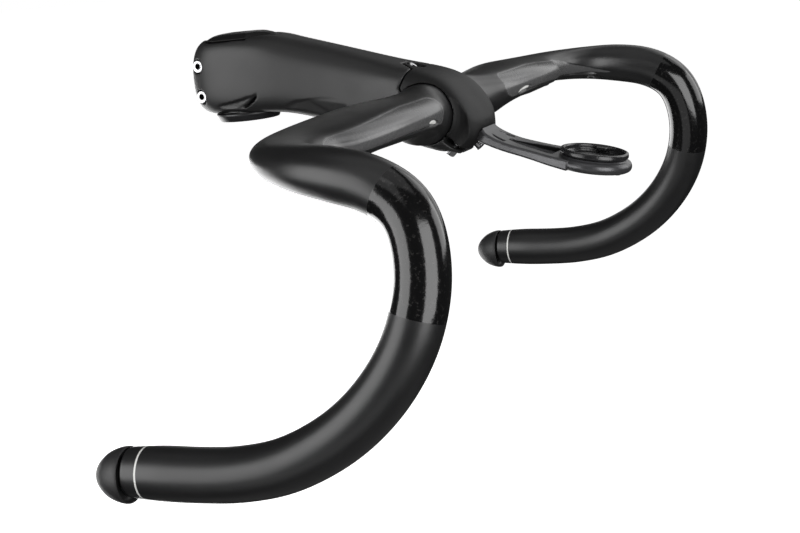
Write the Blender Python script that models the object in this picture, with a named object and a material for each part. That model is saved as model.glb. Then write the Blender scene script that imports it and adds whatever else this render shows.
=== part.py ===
"""Road-bicycle cockpit: aero drop handlebar, aero stem and computer mount.

Frame: +X forward along the bicycle, +Y to the rider's left, +Z up the steerer axis.
The origin is on the steerer axis, at the underside of the lower spacer.
Lengths are in metres; MM turns millimetres into metres.
"""

import math

import bmesh
import bpy
from mathutils import Matrix, Vector

MM = 0.001
GAP = 0.3 * MM                      # clearance between neighbouring pieces

# Stem
STEM_REACH = 112.5 * MM             # steerer axis to bar axis, along X
CLAMP_HEIGHT = -2.6 * MM            # bar axis above the origin
CLAMP_HALF_WIDTH = 24.0 * MM
STEERER_BORE_RADIUS = 14.4 * MM
SPACER_HEIGHT = 4.4 * MM
SPACER_RADIUS = 18.0 * MM
SPACER_FOOT_RADIUS = 16.4 * MM      # its flat underside
CAP_SEAT = 43.8 * MM
CAP_THICKNESS = 3.8 * MM            # at the crown
CAP_HALF_WIDTH = 17.0 * MM
CAP_ROUND_DEPTH = 13.5 * MM         # rear round of the cap, along X
CAP_POINT_X = 23.4 * MM
CAP_BOLT_SINK = 0.6 * MM            # bolt's face below the crown
SPLIT_TILT = math.radians(43.0)     # clamp split plane, normal tilted up from +X
UPPER_BOLT_OFFSET = 24.6 * MM       # clamp bolt to bar axis, along the split plane
LOWER_BOLT_OFFSET = 21.6 * MM
LOWER_BOLT_Y = 13.0 * MM
TONGUE_REAR = 16.2 * MM             # faceplate tongue, behind the bar axis
SLIT_HALF_WIDTH = 0.7 * MM          # rear slit that the pinch bolts close
PINCH_FACE = (-20.8 * MM, -14.6 * MM)   # X and Y of the pinch bolts' head faces
PINCH_HEIGHTS = (("upper", 31.8 * MM), ("lower", 15.0 * MM))
PINCH_TILT = math.radians(12.0)     # heads face the rider's right, turned rearward

# Handlebar
BAR_CLAMP_RADIUS = 15.9 * MM
TUBE_RADIUS = 12.0 * MM
BAR_WALL = 2.2 * MM
TAIL_END_RADIUS = 11.0 * MM
BARREL_HALF_LENGTH = 27.0 * MM      # round stretch in the clamp
HOOD_HALF_SPACING = 225.0 * MM
DROP_HALF_SPACING = 247.3 * MM
DROP = 123.0 * MM                   # bar axis to the drop's centreline
TAIL_END_X = -62.4 * MM             # bar's end, from the bar axis
TAIL_END_Z = -122.0 * MM
WING_TILT = math.radians(7.0)       # nose-down tilt of the wing's chord
PLUG_RADIUS = 12.5 * MM
PLUG_DROP = 1.3 * MM                # plug's dome sits this far below the tube's axis
PLUG_LIP = 0.8 * MM                 # open joint between the tube's end and the plug's flange
SPIGOT_CLEARANCE = 0.35 * MM

# Computer mount
RING_CENTRE = (83.0 * MM, -30.0 * MM)   # X and Z of the receiver, from the bar axis
RING_TILT = math.radians(12.0)          # nose-down tilt of the receiver
RING_RADIUS = 20.0 * MM
RING_HEIGHT = 6.6 * MM
RING_BORE_RADIUS = 15.4 * MM            # pocket that the receiver's foot drops into
RING_BORE_DEPTH = 4.0 * MM
RING_WINDOW_RADIUS = 10.0 * MM
RECEIVER_RADIUS = 17.8 * MM
RECEIVER_FOOT_RADIUS = 14.9 * MM
SEAT_RADIUS = 9.0 * MM                  # raised round seat in the receiver
SEAT_HEIGHT = -0.1 * MM
MOUNT_NOTCH_HALF = 7.3 * MM             # notch for the mount's root, under the faceplate
MOUNT_SADDLE_RADIUS = 20.4 * MM
RECEIVER_SCREW_OFFSET = 12.6 * MM
RECEIVER_SCREW_RADIUS = 1.2 * MM
RECEIVER_HOLE_RADIUS = 1.6 * MM
RECEIVER_HEAD_RADIUS = 2.6 * MM

# M4 fasteners
SHANK_RADIUS = 2.0 * MM
SHANK_HOLE_RADIUS = 2.5 * MM
HEAD_RADIUS = 3.5 * MM
HEAD_HEIGHT = 4.0 * MM
HEAD_POCKET_RADIUS = 4.3 * MM
HEX_ACROSS_FLATS = 3.0 * MM
INSERT_RADIUS = 3.8 * MM            # threaded insert of the top faceplate bolt
INSERT_LENGTH = 8.0 * MM
LOWER_INSERT_RADIUS = 3.0 * MM
LOWER_INSERT_LENGTH = 4.8 * MM
PINCH_NUT_RADIUS = 3.0 * MM
PINCH_NUT_LENGTH = 7.0 * MM
PINCH_NUT_DEPTH = 23.0 * MM         # from the head's face to the nut
CLAMP_SHANK = 14.0 * MM
PINCH_SHANK = 21.0 * MM
MOUNT_SHANK = 9.4 * MM

OVERCUT = 20.0 * MM                 # how far a cutter runs past the surface that it opens

X = Vector((1, 0, 0))
Y = Vector((0, 1, 0))
Z = Vector((0, 0, 1))
CLAMP = Vector((STEM_REACH, 0, CLAMP_HEIGHT))
SPLIT_NORMAL = Vector((math.cos(SPLIT_TILT), 0, math.sin(SPLIT_TILT)))
SPLIT_UP = Vector((-math.sin(SPLIT_TILT), 0, math.cos(SPLIT_TILT)))
RECEIVER_AXIS = Vector((math.sin(RING_TILT), 0, math.cos(RING_TILT)))
RECEIVER_FORWARD = Vector((math.cos(RING_TILT), 0, -math.sin(RING_TILT)))
RECEIVER_ORIGIN = CLAMP + Vector((RING_CENTRE[0], 0, RING_CENTRE[1]))


# ---------------------------------------------------------------- materials

def material(name, colour, roughness, metallic=0.0):
    """One Principled material for one sub-part."""
    mat = bpy.data.materials.new(name)
    mat.use_nodes = True
    shader = mat.node_tree.nodes["Principled BSDF"]
    shader.inputs["Base Color"].default_value = (*colour, 1.0)
    shader.inputs["Roughness"].default_value = roughness
    shader.inputs["Metallic"].default_value = metallic
    return mat


CARBON = ((0.028, 0.028, 0.029), 0.50, 0.0)
RUBBER = ((0.020, 0.020, 0.021), 0.60, 0.0)
STEEL = ((0.72, 0.72, 0.73), 0.25, 1.0)
DARK_STEEL = ((0.060, 0.060, 0.062), 0.35, 1.0)
ALLOY = ((0.50, 0.50, 0.51), 0.35, 1.0)
ANODISED = ((0.035, 0.035, 0.037), 0.38, 0.6)
RECEIVER_PLASTIC = ((0.025, 0.025, 0.026), 0.45, 0.0)


# ---------------------------------------------------------------- mesh tools

def add_object(name, mesh, finish):
    """Link a mesh as one named piece, shaded smooth apart from its sharp edges."""
    obj = bpy.data.objects.new(name, mesh)
    bpy.context.collection.objects.link(obj)
    mesh.materials.clear()
    mesh.materials.append(material(name, *finish))
    mesh.shade_smooth()
    mesh.set_sharp_from_angle(angle=math.radians(32))
    return obj


def closed_mesh(name, rings, wrap=False):
    """Skin a row of equal rings; wrap joins the last to the first, else both ends are capped."""
    bm = bmesh.new()
    loops = [[bm.verts.new(point) for point in ring] for ring in rings]
    pairs = list(zip(loops, loops[1:]))
    if wrap:
        pairs.append((loops[-1], loops[0]))
    for a, b in pairs:
        for i in range(len(a)):
            j = (i + 1) % len(a)
            bm.faces.new((a[i], a[j], b[j], b[i]))
    if not wrap:
        bm.faces.new(list(reversed(loops[0])))
        bm.faces.new(loops[-1])
    bmesh.ops.recalc_face_normals(bm, faces=bm.faces)
    mesh = bpy.data.meshes.new(name)
    bm.to_mesh(mesh)
    bm.free()
    return mesh


def frame_at(origin, axis):
    """Matrix whose Z is the given axis."""
    rotation = axis.to_track_quat("Z", "Y").to_matrix().to_4x4()
    return Matrix.Translation(origin) @ rotation


def turned(name, profile, origin, axis, segments=24, wrap=False):
    """Turn (radius, height) points about an axis; wrap makes a ring with a hole."""
    place = frame_at(origin, axis)
    rings = []
    for radius, height in profile:
        ring = []
        for i in range(segments):
            angle = 2 * math.pi * i / segments
            ring.append(place @ Vector((radius * math.cos(angle), radius * math.sin(angle), height)))
        rings.append(ring)
    return closed_mesh(name, rings, wrap)


def prism(name, outline, origin, u, v, depth_from, depth_to):
    """Extrude an outline of (u, v) points along u x v."""
    w = u.cross(v)
    rings = []
    for depth in (depth_from, depth_to):
        rings.append([origin + u * a + v * b + w * depth for a, b in outline])
    return closed_mesh(name, rings)


def helper(mesh):
    """A cutter or blank: an object that isn't a piece of its own."""
    obj = bpy.data.objects.new(mesh.name, mesh)
    bpy.context.collection.objects.link(obj)
    obj.hide_render = True
    obj.display_type = "WIRE"
    return obj


def combine(base_mesh, steps):
    """Apply a row of exact booleans, each ("DIFFERENCE" | "UNION" | "INTERSECT", mesh)."""
    base = helper(base_mesh)
    tools = []
    for operation, mesh in steps:
        tool = helper(mesh)
        tools.append(tool)
        modifier = base.modifiers.new(operation, "BOOLEAN")
        modifier.operation = operation
        modifier.solver = "EXACT"
        modifier.object = tool
    graph = bpy.context.evaluated_depsgraph_get()
    result = bpy.data.meshes.new_from_object(base.evaluated_get(graph))
    for obj in [base, *tools]:
        bpy.data.objects.remove(obj)
    bm = bmesh.new()
    bm.from_mesh(result)
    bmesh.ops.remove_doubles(bm, verts=bm.verts, dist=0.00001)
    bmesh.ops.dissolve_degenerate(bm, edges=bm.edges, dist=0.000005)
    bm.to_mesh(result)
    bm.free()
    return result


def catmull_rom(points, steps):
    """Smooth curve through rows of numbers, with a number of steps for each span."""
    rows = [points[0], *points, points[-1]]
    curve = []
    for k in range(len(points) - 1):
        p0, p1, p2, p3 = rows[k:k + 4]
        for s in range(steps[k]):
            t = s / steps[k]
            row = []
            for a, b, c, d in zip(p0, p1, p2, p3):
                value = 2 * b + (c - a) * t
                value += (2 * a - 5 * b + 4 * c - d) * t * t
                value += (3 * b - a - 3 * c + d) * t * t * t
                row.append(value / 2)
            curve.append(row)
    curve.append(list(points[-1]))
    return curve


def screw_shape(name, head_face, axis, length):
    """Socket-head screw: head_face is its head's outer face, axis points out of the head."""
    sides = 12
    place = frame_at(head_face, axis)
    hex_radius = HEX_ACROSS_FLATS / 2
    profile = [
        (SHANK_RADIUS - 0.4 * MM, -HEAD_HEIGHT - length, False),
        (SHANK_RADIUS, -HEAD_HEIGHT - length + 0.5 * MM, False),
        (SHANK_RADIUS, -HEAD_HEIGHT, False),
        (HEAD_RADIUS, -HEAD_HEIGHT, False),
        (HEAD_RADIUS, -0.4 * MM, False),
        (HEAD_RADIUS - 0.4 * MM, 0.0, False),
        (hex_radius, 0.0, True),
        (hex_radius, -2.4 * MM, True),
    ]
    rings = []
    for radius, height, is_hex in profile:
        ring = []
        for i in range(sides):
            angle = 2 * math.pi * i / sides
            reach = radius
            if is_hex:
                reach /= math.cos((angle + math.pi / 6) % (math.pi / 3) - math.pi / 6)
            ring.append(place @ Vector((reach * math.cos(angle), reach * math.sin(angle), height)))
        rings.append(ring)
    return closed_mesh(name, rings)


def rod(name, start, axis, length, radius, segments=16):
    """Plain cylinder from start along axis."""
    return turned(name, [(radius, 0.0), (radius, length)], start, axis, segments)


def sleeve(name, start, axis, length, outer, inner, segments=16):
    """Cylinder with a through hole."""
    profile = [(outer, 0.0), (outer, length), (inner, length), (inner, 0.0)]
    return turned(name, profile, start, axis, segments, wrap=True)


# ---------------------------------------------------------------- handlebar

def bar_stations():
    """Rows of x, y, z, half-chord and half-thickness from the bar's centre to its left end.

    x and z are measured from the bar axis in the clamp.
    """
    crown = [
        # barrel, wing, corner and hood, in millimetres
        (0.0, 0.0, 0.0, 15.9, 15.9),
        (0.0, 27.0, 0.0, 15.9, 15.9),
        (2.0, 41.0, 1.3, 17.0, 13.0),
        (4.0, 62.0, 4.2, 20.5, 9.8),
        (4.0, 100.0, 5.8, 24.0, 8.7),
        (-0.6, 140.0, 4.3, 24.3, 8.2),
        (-4.0, 168.0, 3.1, 19.6, 8.3),
        (3.6, 195.0, 2.3, 15.4, 9.0),
        (19.8, 213.0, 0.9, 13.0, 10.2),
        (38.0, 221.5, -1.4, 12.2, 11.6),
        (56.0, 225.4, -5.8, 12.0, 12.0),
        (70.0, 227.4, -15.2, 12.0, 12.0),
    ]
    hook = [(76.2, -30.0), (76.4, -50.0), (69.7, -71.3), (56.3, -90.9), (37.7, -106.8),
            (14.3, -118.1), (-8.0, -122.4), (-28.0, -123.0), (-46.0, -122.5)]
    rows = [tuple(value * MM for value in row) for row in crown]
    for x, z in hook:
        rows.append((x * MM, flare(z * MM), z * MM, TUBE_RADIUS, TUBE_RADIUS))
    rows.append((TAIL_END_X, DROP_HALF_SPACING, TAIL_END_Z, TAIL_END_RADIUS, TAIL_END_RADIUS))
    return rows


def flare(z):
    """Distance of the hook from the mid plane at height z above the bar axis."""
    share = min(1.0, max(0.0, -z / DROP))
    return HOOD_HALF_SPACING + (DROP_HALF_SPACING - HOOD_HALF_SPACING) * share


def bar_rings(steps, sides, inset):
    """Rings of the left half of the bar, from its centre to its end."""
    curve = catmull_rom(bar_stations(), steps)
    centres = [CLAMP + Vector(row[:3]) for row in curve]
    rings = []
    up = Z.copy()
    for k, centre in enumerate(centres):
        before = centres[max(k - 1, 0)]
        after = centres[min(k + 1, len(centres) - 1)]
        tangent = (after - before).normalized() if k else Y.copy()
        if curve[k][1] <= BARREL_HALF_LENGTH:
            tangent = Y.copy()
        up = (up - tangent * up.dot(tangent)).normalized()
        chord = tangent.cross(up)
        half_chord = curve[k][3] - inset
        half_depth = curve[k][4] - inset
        flatness = min(1.0, max(0.0, (curve[k][3] - curve[k][4]) / (6 * MM)))
        tilt = WING_TILT * flatness
        along = chord * math.cos(tilt) - up * math.sin(tilt)
        across = up * math.cos(tilt) + chord * math.sin(tilt)
        ring = []
        for i in range(sides):
            angle = 2 * math.pi * i / sides
            ring.append(centre + along * (half_chord * math.cos(angle))
                        + across * (half_depth * math.sin(angle)))
        rings.append(ring)
    return rings


def mirrored(ring):
    """The same ring on the other side of the mid plane, in the same turning order."""
    return [Vector((p.x, -p.y, p.z)) for p in ring]


def handlebar():
    """One-piece hollow bar, open at both ends."""
    spans = len(bar_stations()) - 1
    outer = bar_rings([2] * (spans - 3) + [1] * 3, 20, 0.0)
    inner = bar_rings([1] * spans, 20, BAR_WALL)
    outside = [mirrored(r) for r in reversed(outer[1:])] + outer
    inside = [mirrored(r) for r in reversed(inner[1:])] + inner
    mesh = closed_mesh("handlebar", outside + list(reversed(inside)), wrap=True)
    return add_object("handlebar", mesh, CARBON)


def end_plug(name, side):
    """Rubber mushroom plug: spigot in the bar's bore, and a dome that hangs below the tube."""
    spigot = TAIL_END_RADIUS - BAR_WALL - SPIGOT_CLEARANCE
    profile = [
        # distance behind the tube's end, radius, drop below the tube's axis
        (-19.0 * MM, spigot - 1.2 * MM, 0.0),
        (-17.0 * MM, spigot, 0.0),
        (PLUG_LIP, spigot, 0.0),
        (PLUG_LIP, PLUG_RADIUS, PLUG_DROP),
        (2.6 * MM, PLUG_RADIUS, PLUG_DROP),
        (6.4 * MM, PLUG_RADIUS * 0.93, PLUG_DROP),
        (10.6 * MM, PLUG_RADIUS * 0.77, PLUG_DROP),
        (14.2 * MM, PLUG_RADIUS * 0.53, PLUG_DROP),
        (16.4 * MM, PLUG_RADIUS * 0.26, PLUG_DROP),
    ]
    rings = []
    for distance, radius, drop in profile:
        centre = CLAMP + Vector((TAIL_END_X, side * DROP_HALF_SPACING, TAIL_END_Z - drop))
        centre.x -= distance
        ring = []
        for i in range(20):
            angle = 2 * math.pi * i / 20
            ring.append(centre + (Y * math.cos(angle) + Z * math.sin(angle)) * radius)
        rings.append(ring)
    return add_object(name, closed_mesh(name, rings), RUBBER)


# ---------------------------------------------------------------- stem

def stem_envelope():
    """Outer form of stem and faceplate together: rounded sections across X."""
    rows = [
        # x, top, bottom, half-width, corner exponent
        (-29.0, 28.0, 14.0, 2.4, 2.0),
        (-28.3, 33.4, 10.6, 6.6, 2.2),
        (-25.8, 40.2, 7.6, 11.2, 2.5),
        (-21.4, 44.5, 5.4, 14.8, 3.0),
        (-14.0, 46.7, 4.2, 18.0, 3.9),
        (0.0, 46.9, 3.8, 20.4, 4.6),
        (14.0, 46.2, 3.6, 21.2, 4.5),
        (24.0, 44.9, 3.0, 21.3, 4.1),
        (34.0, 42.1, 1.2, 21.0, 3.6),
        (46.0, 38.8, -2.0, 20.6, 3.3),
        (60.0, 34.7, -6.0, 20.4, 3.3),
        (75.0, 30.1, -10.5, 20.8, 3.4),
        (88.0, 26.0, -14.5, 21.8, 3.7),
        (98.0, 23.0, -17.7, 23.2, 4.2),
        (106.0, 20.8, -20.3, 23.9, 4.6),
        (113.0, 18.6, -22.6, 24.0, 4.8),
        (119.0, 16.2, -24.2, 24.0, 4.8),
        (125.0, 12.6, -24.8, 24.0, 4.6),
        (130.0, 7.8, -24.2, 23.8, 4.2),
        (134.0, 2.2, -22.0, 22.6, 3.8),
        (137.0, -3.6, -18.8, 19.0, 3.2),
        (138.8, -8.4, -13.4, 9.0, 2.4),
    ]
    sides = 28
    rings = []
    for x, top, bottom, half_width, power in rows:
        ring = []
        for i in range(sides):
            angle = 2 * math.pi * (i + 0.5) / sides
            c, s = math.cos(angle), math.sin(angle)
            y = half_width * math.copysign(abs(c) ** (2 / power), c)
            z = (top + bottom) / 2 + (top - bottom) / 2 * math.copysign(abs(s) ** (2 / power), s)
            ring.append(Vector((x, y, z)) * MM)
        rings.append(ring)
    return closed_mesh("stem_envelope", rings)


def faceplate_zone(grow):
    """The space in front of the clamp's split, with the tongue's; grow widens it."""
    lip = Vector((-12.6 * MM, 13.5 * MM))
    corner = Vector((-8.3 * MM, 22.4 * MM))
    lift = (corner - lip).normalized()
    back = grow / math.sin(SPLIT_TILT)
    front_low = SPLIT_UP * (-60 * MM) - SPLIT_NORMAL * grow
    outline = [
        (front_low.x, front_low.z),
        (80 * MM, front_low.z),
        (80 * MM, 50 * MM),
        (lip.x - back + lift.x * 40 * MM, 50 * MM),
        (lip.x - back + lift.x * 40 * MM, lip.y + lift.y * 40 * MM),
        (lip.x - back, lip.y),
    ]
    main = prism("zone", outline, CLAMP, X, Z, -40 * MM, 40 * MM)
    slope = math.cos(SPLIT_TILT) / math.sin(SPLIT_TILT)
    plan = [
        (6 * MM, -26 * MM - grow),
        (6 * MM, 26 * MM + grow),
        (-TONGUE_REAR - grow, 4 * MM + grow),
        (-TONGUE_REAR - grow, -4 * MM - grow),
    ]
    low = [CLAMP + Vector((x, y, -slope * x - back)) for x, y in plan]
    high = [CLAMP + Vector((x, y, 50 * MM)) for x, y in plan]
    tongue = closed_mesh("tongue", [low, high])
    return combine(main, [("UNION", tongue)])


def clamp_point(along_split, out, y=0.0):
    """A point given along the split plane and out of it, from the bar axis."""
    return CLAMP + SPLIT_UP * along_split + SPLIT_NORMAL * out + Y * y


def clamp_bolts():
    """Name, head face, outward axis and length of the three faceplate bolts."""
    top = clamp_point(UPPER_BOLT_OFFSET, 8.0 * MM)
    right = clamp_point(-LOWER_BOLT_OFFSET, -9.2 * MM, -LOWER_BOLT_Y)
    left = clamp_point(-LOWER_BOLT_OFFSET, -9.2 * MM, LOWER_BOLT_Y)
    return [
        ("faceplate_bolt_top", top, SPLIT_NORMAL, CLAMP_SHANK),
        ("faceplate_bolt_lower_right", right, -SPLIT_NORMAL, CLAMP_SHANK),
        ("faceplate_bolt_lower_left", left, -SPLIT_NORMAL, CLAMP_SHANK),
    ]


def clamp_inserts():
    """Name, mouth and inward axis of the threaded inserts of those bolts."""
    return [
        ("faceplate_insert_top", clamp_point(UPPER_BOLT_OFFSET, -1.2 * MM), -SPLIT_NORMAL),
        ("faceplate_insert_lower_right",
         clamp_point(-LOWER_BOLT_OFFSET, 0.6 * MM, -LOWER_BOLT_Y), SPLIT_NORMAL),
        ("faceplate_insert_lower_left",
         clamp_point(-LOWER_BOLT_OFFSET, 0.6 * MM, LOWER_BOLT_Y), SPLIT_NORMAL),
    ]


def pinch_bolts():
    """Name, head face and outward axis of the two steerer pinch bolts."""
    outward = Vector((-math.sin(PINCH_TILT), -math.cos(PINCH_TILT), 0))
    return [(name, Vector((*PINCH_FACE, height)), outward) for name, height in PINCH_HEIGHTS]


def stem_blank():
    """Envelope with the bosses round the two lower clamp bolts."""
    steps = []
    for side in (-1, 1):
        start = clamp_point(-LOWER_BOLT_OFFSET, -5.0 * MM, side * LOWER_BOLT_Y)
        steps.append(("UNION", rod("boss", start, SPLIT_NORMAL, 9 * MM, 5.4 * MM)))
    return combine(stem_envelope(), steps)


def cap_outline(inset):
    """Shield shape of the top cap: round behind, blunt point in front."""
    half = CAP_HALF_WIDTH - inset
    round_depth = CAP_ROUND_DEPTH - inset
    round_centre = -5.6 * MM
    shoulder = 11.0 * MM
    point_half = 3.5 * MM
    point = CAP_POINT_X - inset * 1.4
    points = [(point, -point_half), (point, point_half), (shoulder, half)]
    for k in range(13):
        angle = math.pi / 2 + math.pi * k / 12
        points.append((round_centre + round_depth * math.cos(angle), half * math.sin(angle)))
    points.append((shoulder, -half))
    return points


def stem_body():
    """Stem: steerer clamp behind, half of the bar clamp in front."""
    bore_length = 2 * CLAMP_HALF_WIDTH + OVERCUT
    bar_side = CLAMP - Y * (bore_length / 2)
    steps = [
        ("DIFFERENCE", faceplate_zone(GAP)),
        ("DIFFERENCE", rod("bar_bore", bar_side, Y, bore_length, BAR_CLAMP_RADIUS + 0.35 * MM, 48)),
        ("DIFFERENCE", rod("steerer_bore", Z * -OVERCUT, Z, 90 * MM, STEERER_BORE_RADIUS, 32)),
        ("DIFFERENCE", rod("spacer_seat", Z * -OVERCUT, Z, OVERCUT + SPACER_HEIGHT + GAP,
                           SPACER_RADIUS + 1 * MM, 32)),
        ("DIFFERENCE", prism("cap_seat", cap_outline(-0.4 * MM), Z * CAP_SEAT, X, Y, 0.0, OVERCUT)),
        ("DIFFERENCE", prism("slit", [(-40 * MM, -10 * MM), (-13 * MM, -10 * MM),
                                      (-13 * MM, 60 * MM), (-40 * MM, 60 * MM)],
                             Vector((0, 0, 0)), X, Z, -SLIT_HALF_WIDTH, SLIT_HALF_WIDTH)),
    ]
    # Clamping gap under the bar, between the jaw and the faceplate
    low = [(-60 * MM, -3.2 * MM), (-17 * MM, -3.2 * MM), (-17 * MM, 2 * MM), (-60 * MM, 2 * MM)]
    steps.append(("DIFFERENCE", prism("lower_gap", low, CLAMP, SPLIT_UP, SPLIT_NORMAL,
                                      -40 * MM, 40 * MM)))
    notch = [(-60 * MM, -30 * MM), (-19.8 * MM, -30 * MM), (-19.8 * MM, 30 * MM), (-60 * MM, 30 * MM)]
    steps.append(("DIFFERENCE", prism("notch", notch, CLAMP, SPLIT_UP, SPLIT_NORMAL,
                                      -MOUNT_NOTCH_HALF, MOUNT_NOTCH_HALF)))
    for name, face, axis, length in clamp_bolts():
        steps.append(("DIFFERENCE", rod("shank", face, -axis, HEAD_HEIGHT + length + 1 * MM,
                                        SHANK_HOLE_RADIUS, 12)))
        if axis.z < 0:
            steps.append(("DIFFERENCE", rod("head", face - axis * HEAD_HEIGHT, axis, OVERCUT,
                                            HEAD_POCKET_RADIUS)))
    for name, mouth, inward in clamp_inserts():
        if inward.z < 0:
            steps.append(("DIFFERENCE", rod("pocket", mouth - inward * 4 * MM, inward,
                                            INSERT_LENGTH + 4 * MM + GAP, INSERT_RADIUS + GAP)))
    for name, face, axis in pinch_bolts():
        steps.append(("DIFFERENCE", rod("shank", face, -axis, 30 * MM, SHANK_HOLE_RADIUS, 12)))
        steps.append(("DIFFERENCE", rod("head", face - axis * HEAD_HEIGHT, axis, 12 * MM,
                                        HEAD_RADIUS + 0.45 * MM)))
        steps.append(("DIFFERENCE", rod("nut", face - axis * (PINCH_NUT_DEPTH - GAP), -axis, 30 * MM,
                                        PINCH_NUT_RADIUS + 0.4 * MM)))
    # Scoop low on each side, beside the steerer clamp
    for side in (-1, 1):
        floor = [(-13 * MM, 8.6 * MM), (1 * MM, 6.6 * MM), (9 * MM, 7.0 * MM), (14 * MM, 16.0 * MM)]
        steps.append(("DIFFERENCE", prism("scoop", floor, Y * (side * 24 * MM), X, Z,
                                          -4.6 * MM, 4.6 * MM)))
    mesh = combine(stem_blank(), steps)
    return add_object("stem_body", mesh, CARBON)


def faceplate():
    """Front half of the bar clamp, with its rear tongue over the bar."""
    bore_length = 2 * CLAMP_HALF_WIDTH + OVERCUT
    bar_side = CLAMP - Y * (bore_length / 2)
    steps = [
        ("INTERSECT", faceplate_zone(0.0)),
        ("DIFFERENCE", rod("bar_bore", bar_side, Y, bore_length, BAR_CLAMP_RADIUS + 0.35 * MM, 48)),
        ("DIFFERENCE", mount_notch()),
    ]
    screw_face, screw_axis = mount_screw()
    steps.append(("DIFFERENCE", rod("screw", screw_face, -screw_axis, 30 * MM, SHANK_HOLE_RADIUS, 12)))
    for name, face, axis, length in clamp_bolts():
        steps.append(("DIFFERENCE", rod("shank", face, -axis, HEAD_HEIGHT + length + 0.5 * MM,
                                        SHANK_HOLE_RADIUS, 12)))
        if axis.z > 0:
            steps.append(("DIFFERENCE", rod("head", face - axis * HEAD_HEIGHT, axis, OVERCUT,
                                            HEAD_POCKET_RADIUS)))
    for name, mouth, inward in clamp_inserts():
        if inward.z > 0:
            steps.append(("DIFFERENCE", rod("pocket", mouth - inward * 4 * MM, inward,
                                            LOWER_INSERT_LENGTH + 4 * MM + GAP,
                                            LOWER_INSERT_RADIUS + GAP)))
    mesh = combine(stem_blank(), steps)
    return add_object("faceplate", mesh, CARBON)


def fasteners():
    """Clamp bolts, pinch bolts, and the threaded inserts they screw into."""
    for name, face, axis, length in clamp_bolts():
        add_object(name, screw_shape(name, face, axis, length), STEEL)
    for name, mouth, inward in clamp_inserts():
        upper = inward.z < 0
        length = INSERT_LENGTH if upper else LOWER_INSERT_LENGTH
        outer = INSERT_RADIUS if upper else LOWER_INSERT_RADIUS
        mesh = sleeve(name, mouth, inward, length, outer, SHANK_HOLE_RADIUS)
        add_object(name, mesh, ALLOY)
    for name, face, axis in pinch_bolts():
        bolt = "pinch_bolt_" + name
        add_object(bolt, screw_shape(bolt, face, axis, PINCH_SHANK), STEEL)
        nut = "pinch_nut_" + name
        start = face - axis * PINCH_NUT_DEPTH
        mesh = sleeve(nut, start, -axis, PINCH_NUT_LENGTH, PINCH_NUT_RADIUS, SHANK_HOLE_RADIUS)
        add_object(nut, mesh, ALLOY)


def top_cap():
    """Shield-shaped steerer cap with a low crown and a counterbored bolt hole."""
    base = CAP_SEAT + GAP
    top = base + CAP_THICKNESS
    levels = [(0.0, 0.0), (0.0, 1.1 * MM), (1.2 * MM, 1.9 * MM), (3.6 * MM, 2.9 * MM), (7.0 * MM, CAP_THICKNESS)]
    rings = []
    for inset, height in levels:
        rings.append([Vector((x, y, base + height)) for x, y in cap_outline(inset)])
    steps = [
        ("UNION", rod("spigot", Z * (CAP_SEAT - 4.0 * MM), Z, 4.6 * MM, STEERER_BORE_RADIUS - 0.6 * MM, 32)),
        ("DIFFERENCE", rod("shank", Z * (CAP_SEAT - 5 * MM), Z, OVERCUT, 3.4 * MM)),
        ("DIFFERENCE", rod("head", Z * (top - CAP_BOLT_SINK - 2.6 * MM), Z, OVERCUT, 6.0 * MM, 32)),
    ]
    add_object("top_cap", combine(closed_mesh("top_cap", rings), steps), CARBON)
    # Button head bolt that preloads the headset, sunk in the crown
    face = Z * (top - CAP_BOLT_SINK)
    sides = [(2.6 * MM, -24 * MM), (3.0 * MM, -23.5 * MM), (3.0 * MM, -1.9 * MM), (5.6 * MM, -1.9 * MM),
             (5.6 * MM, -0.9 * MM), (3.8 * MM, 0.0), (2.0 * MM, 0.0), (2.0 * MM, -1.6 * MM)]
    add_object("top_cap_bolt", turned("top_cap_bolt", sides, face, Z, 18), DARK_STEEL)


def lower_spacer():
    """Thin chamfered ring between the headset and the stem."""
    profile = [
        (STEERER_BORE_RADIUS, 0.0),
        (SPACER_FOOT_RADIUS, 0.0),
        (SPACER_RADIUS, SPACER_HEIGHT - 1.0 * MM),
        (SPACER_RADIUS, SPACER_HEIGHT),
        (STEERER_BORE_RADIUS, SPACER_HEIGHT),
    ]
    mesh = turned("lower_spacer", profile, Vector((0, 0, 0)), Z, 32, wrap=True)
    return add_object("lower_spacer", mesh, CARBON)


# ---------------------------------------------------------------- computer mount

def mount_screw():
    """Head face and outward axis of the screw that holds the mount to the faceplate."""
    return clamp_point(-30.6 * MM, 2.0 * MM), -SPLIT_UP


def sector(name, inner, outer, start, end, half_width):
    """Part of a ring round the bar axis, between two angles below +X, in degrees."""
    outline = []
    for radius, angles in ((inner, (start, end)), (outer, (end, start))):
        for k in range(7):
            angle = math.radians(angles[0] + (angles[1] - angles[0]) * k / 6)
            outline.append((radius * math.cos(angle), -radius * math.sin(angle)))
    return prism(name, outline, CLAMP, X, Z, -half_width, half_width)


def mount_notch():
    """Space cut out of the faceplate's underside for the mount's root."""
    return sector("mount_notch", MOUNT_SADDLE_RADIUS, 45 * MM, 26, 72, MOUNT_NOTCH_HALF)


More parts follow.
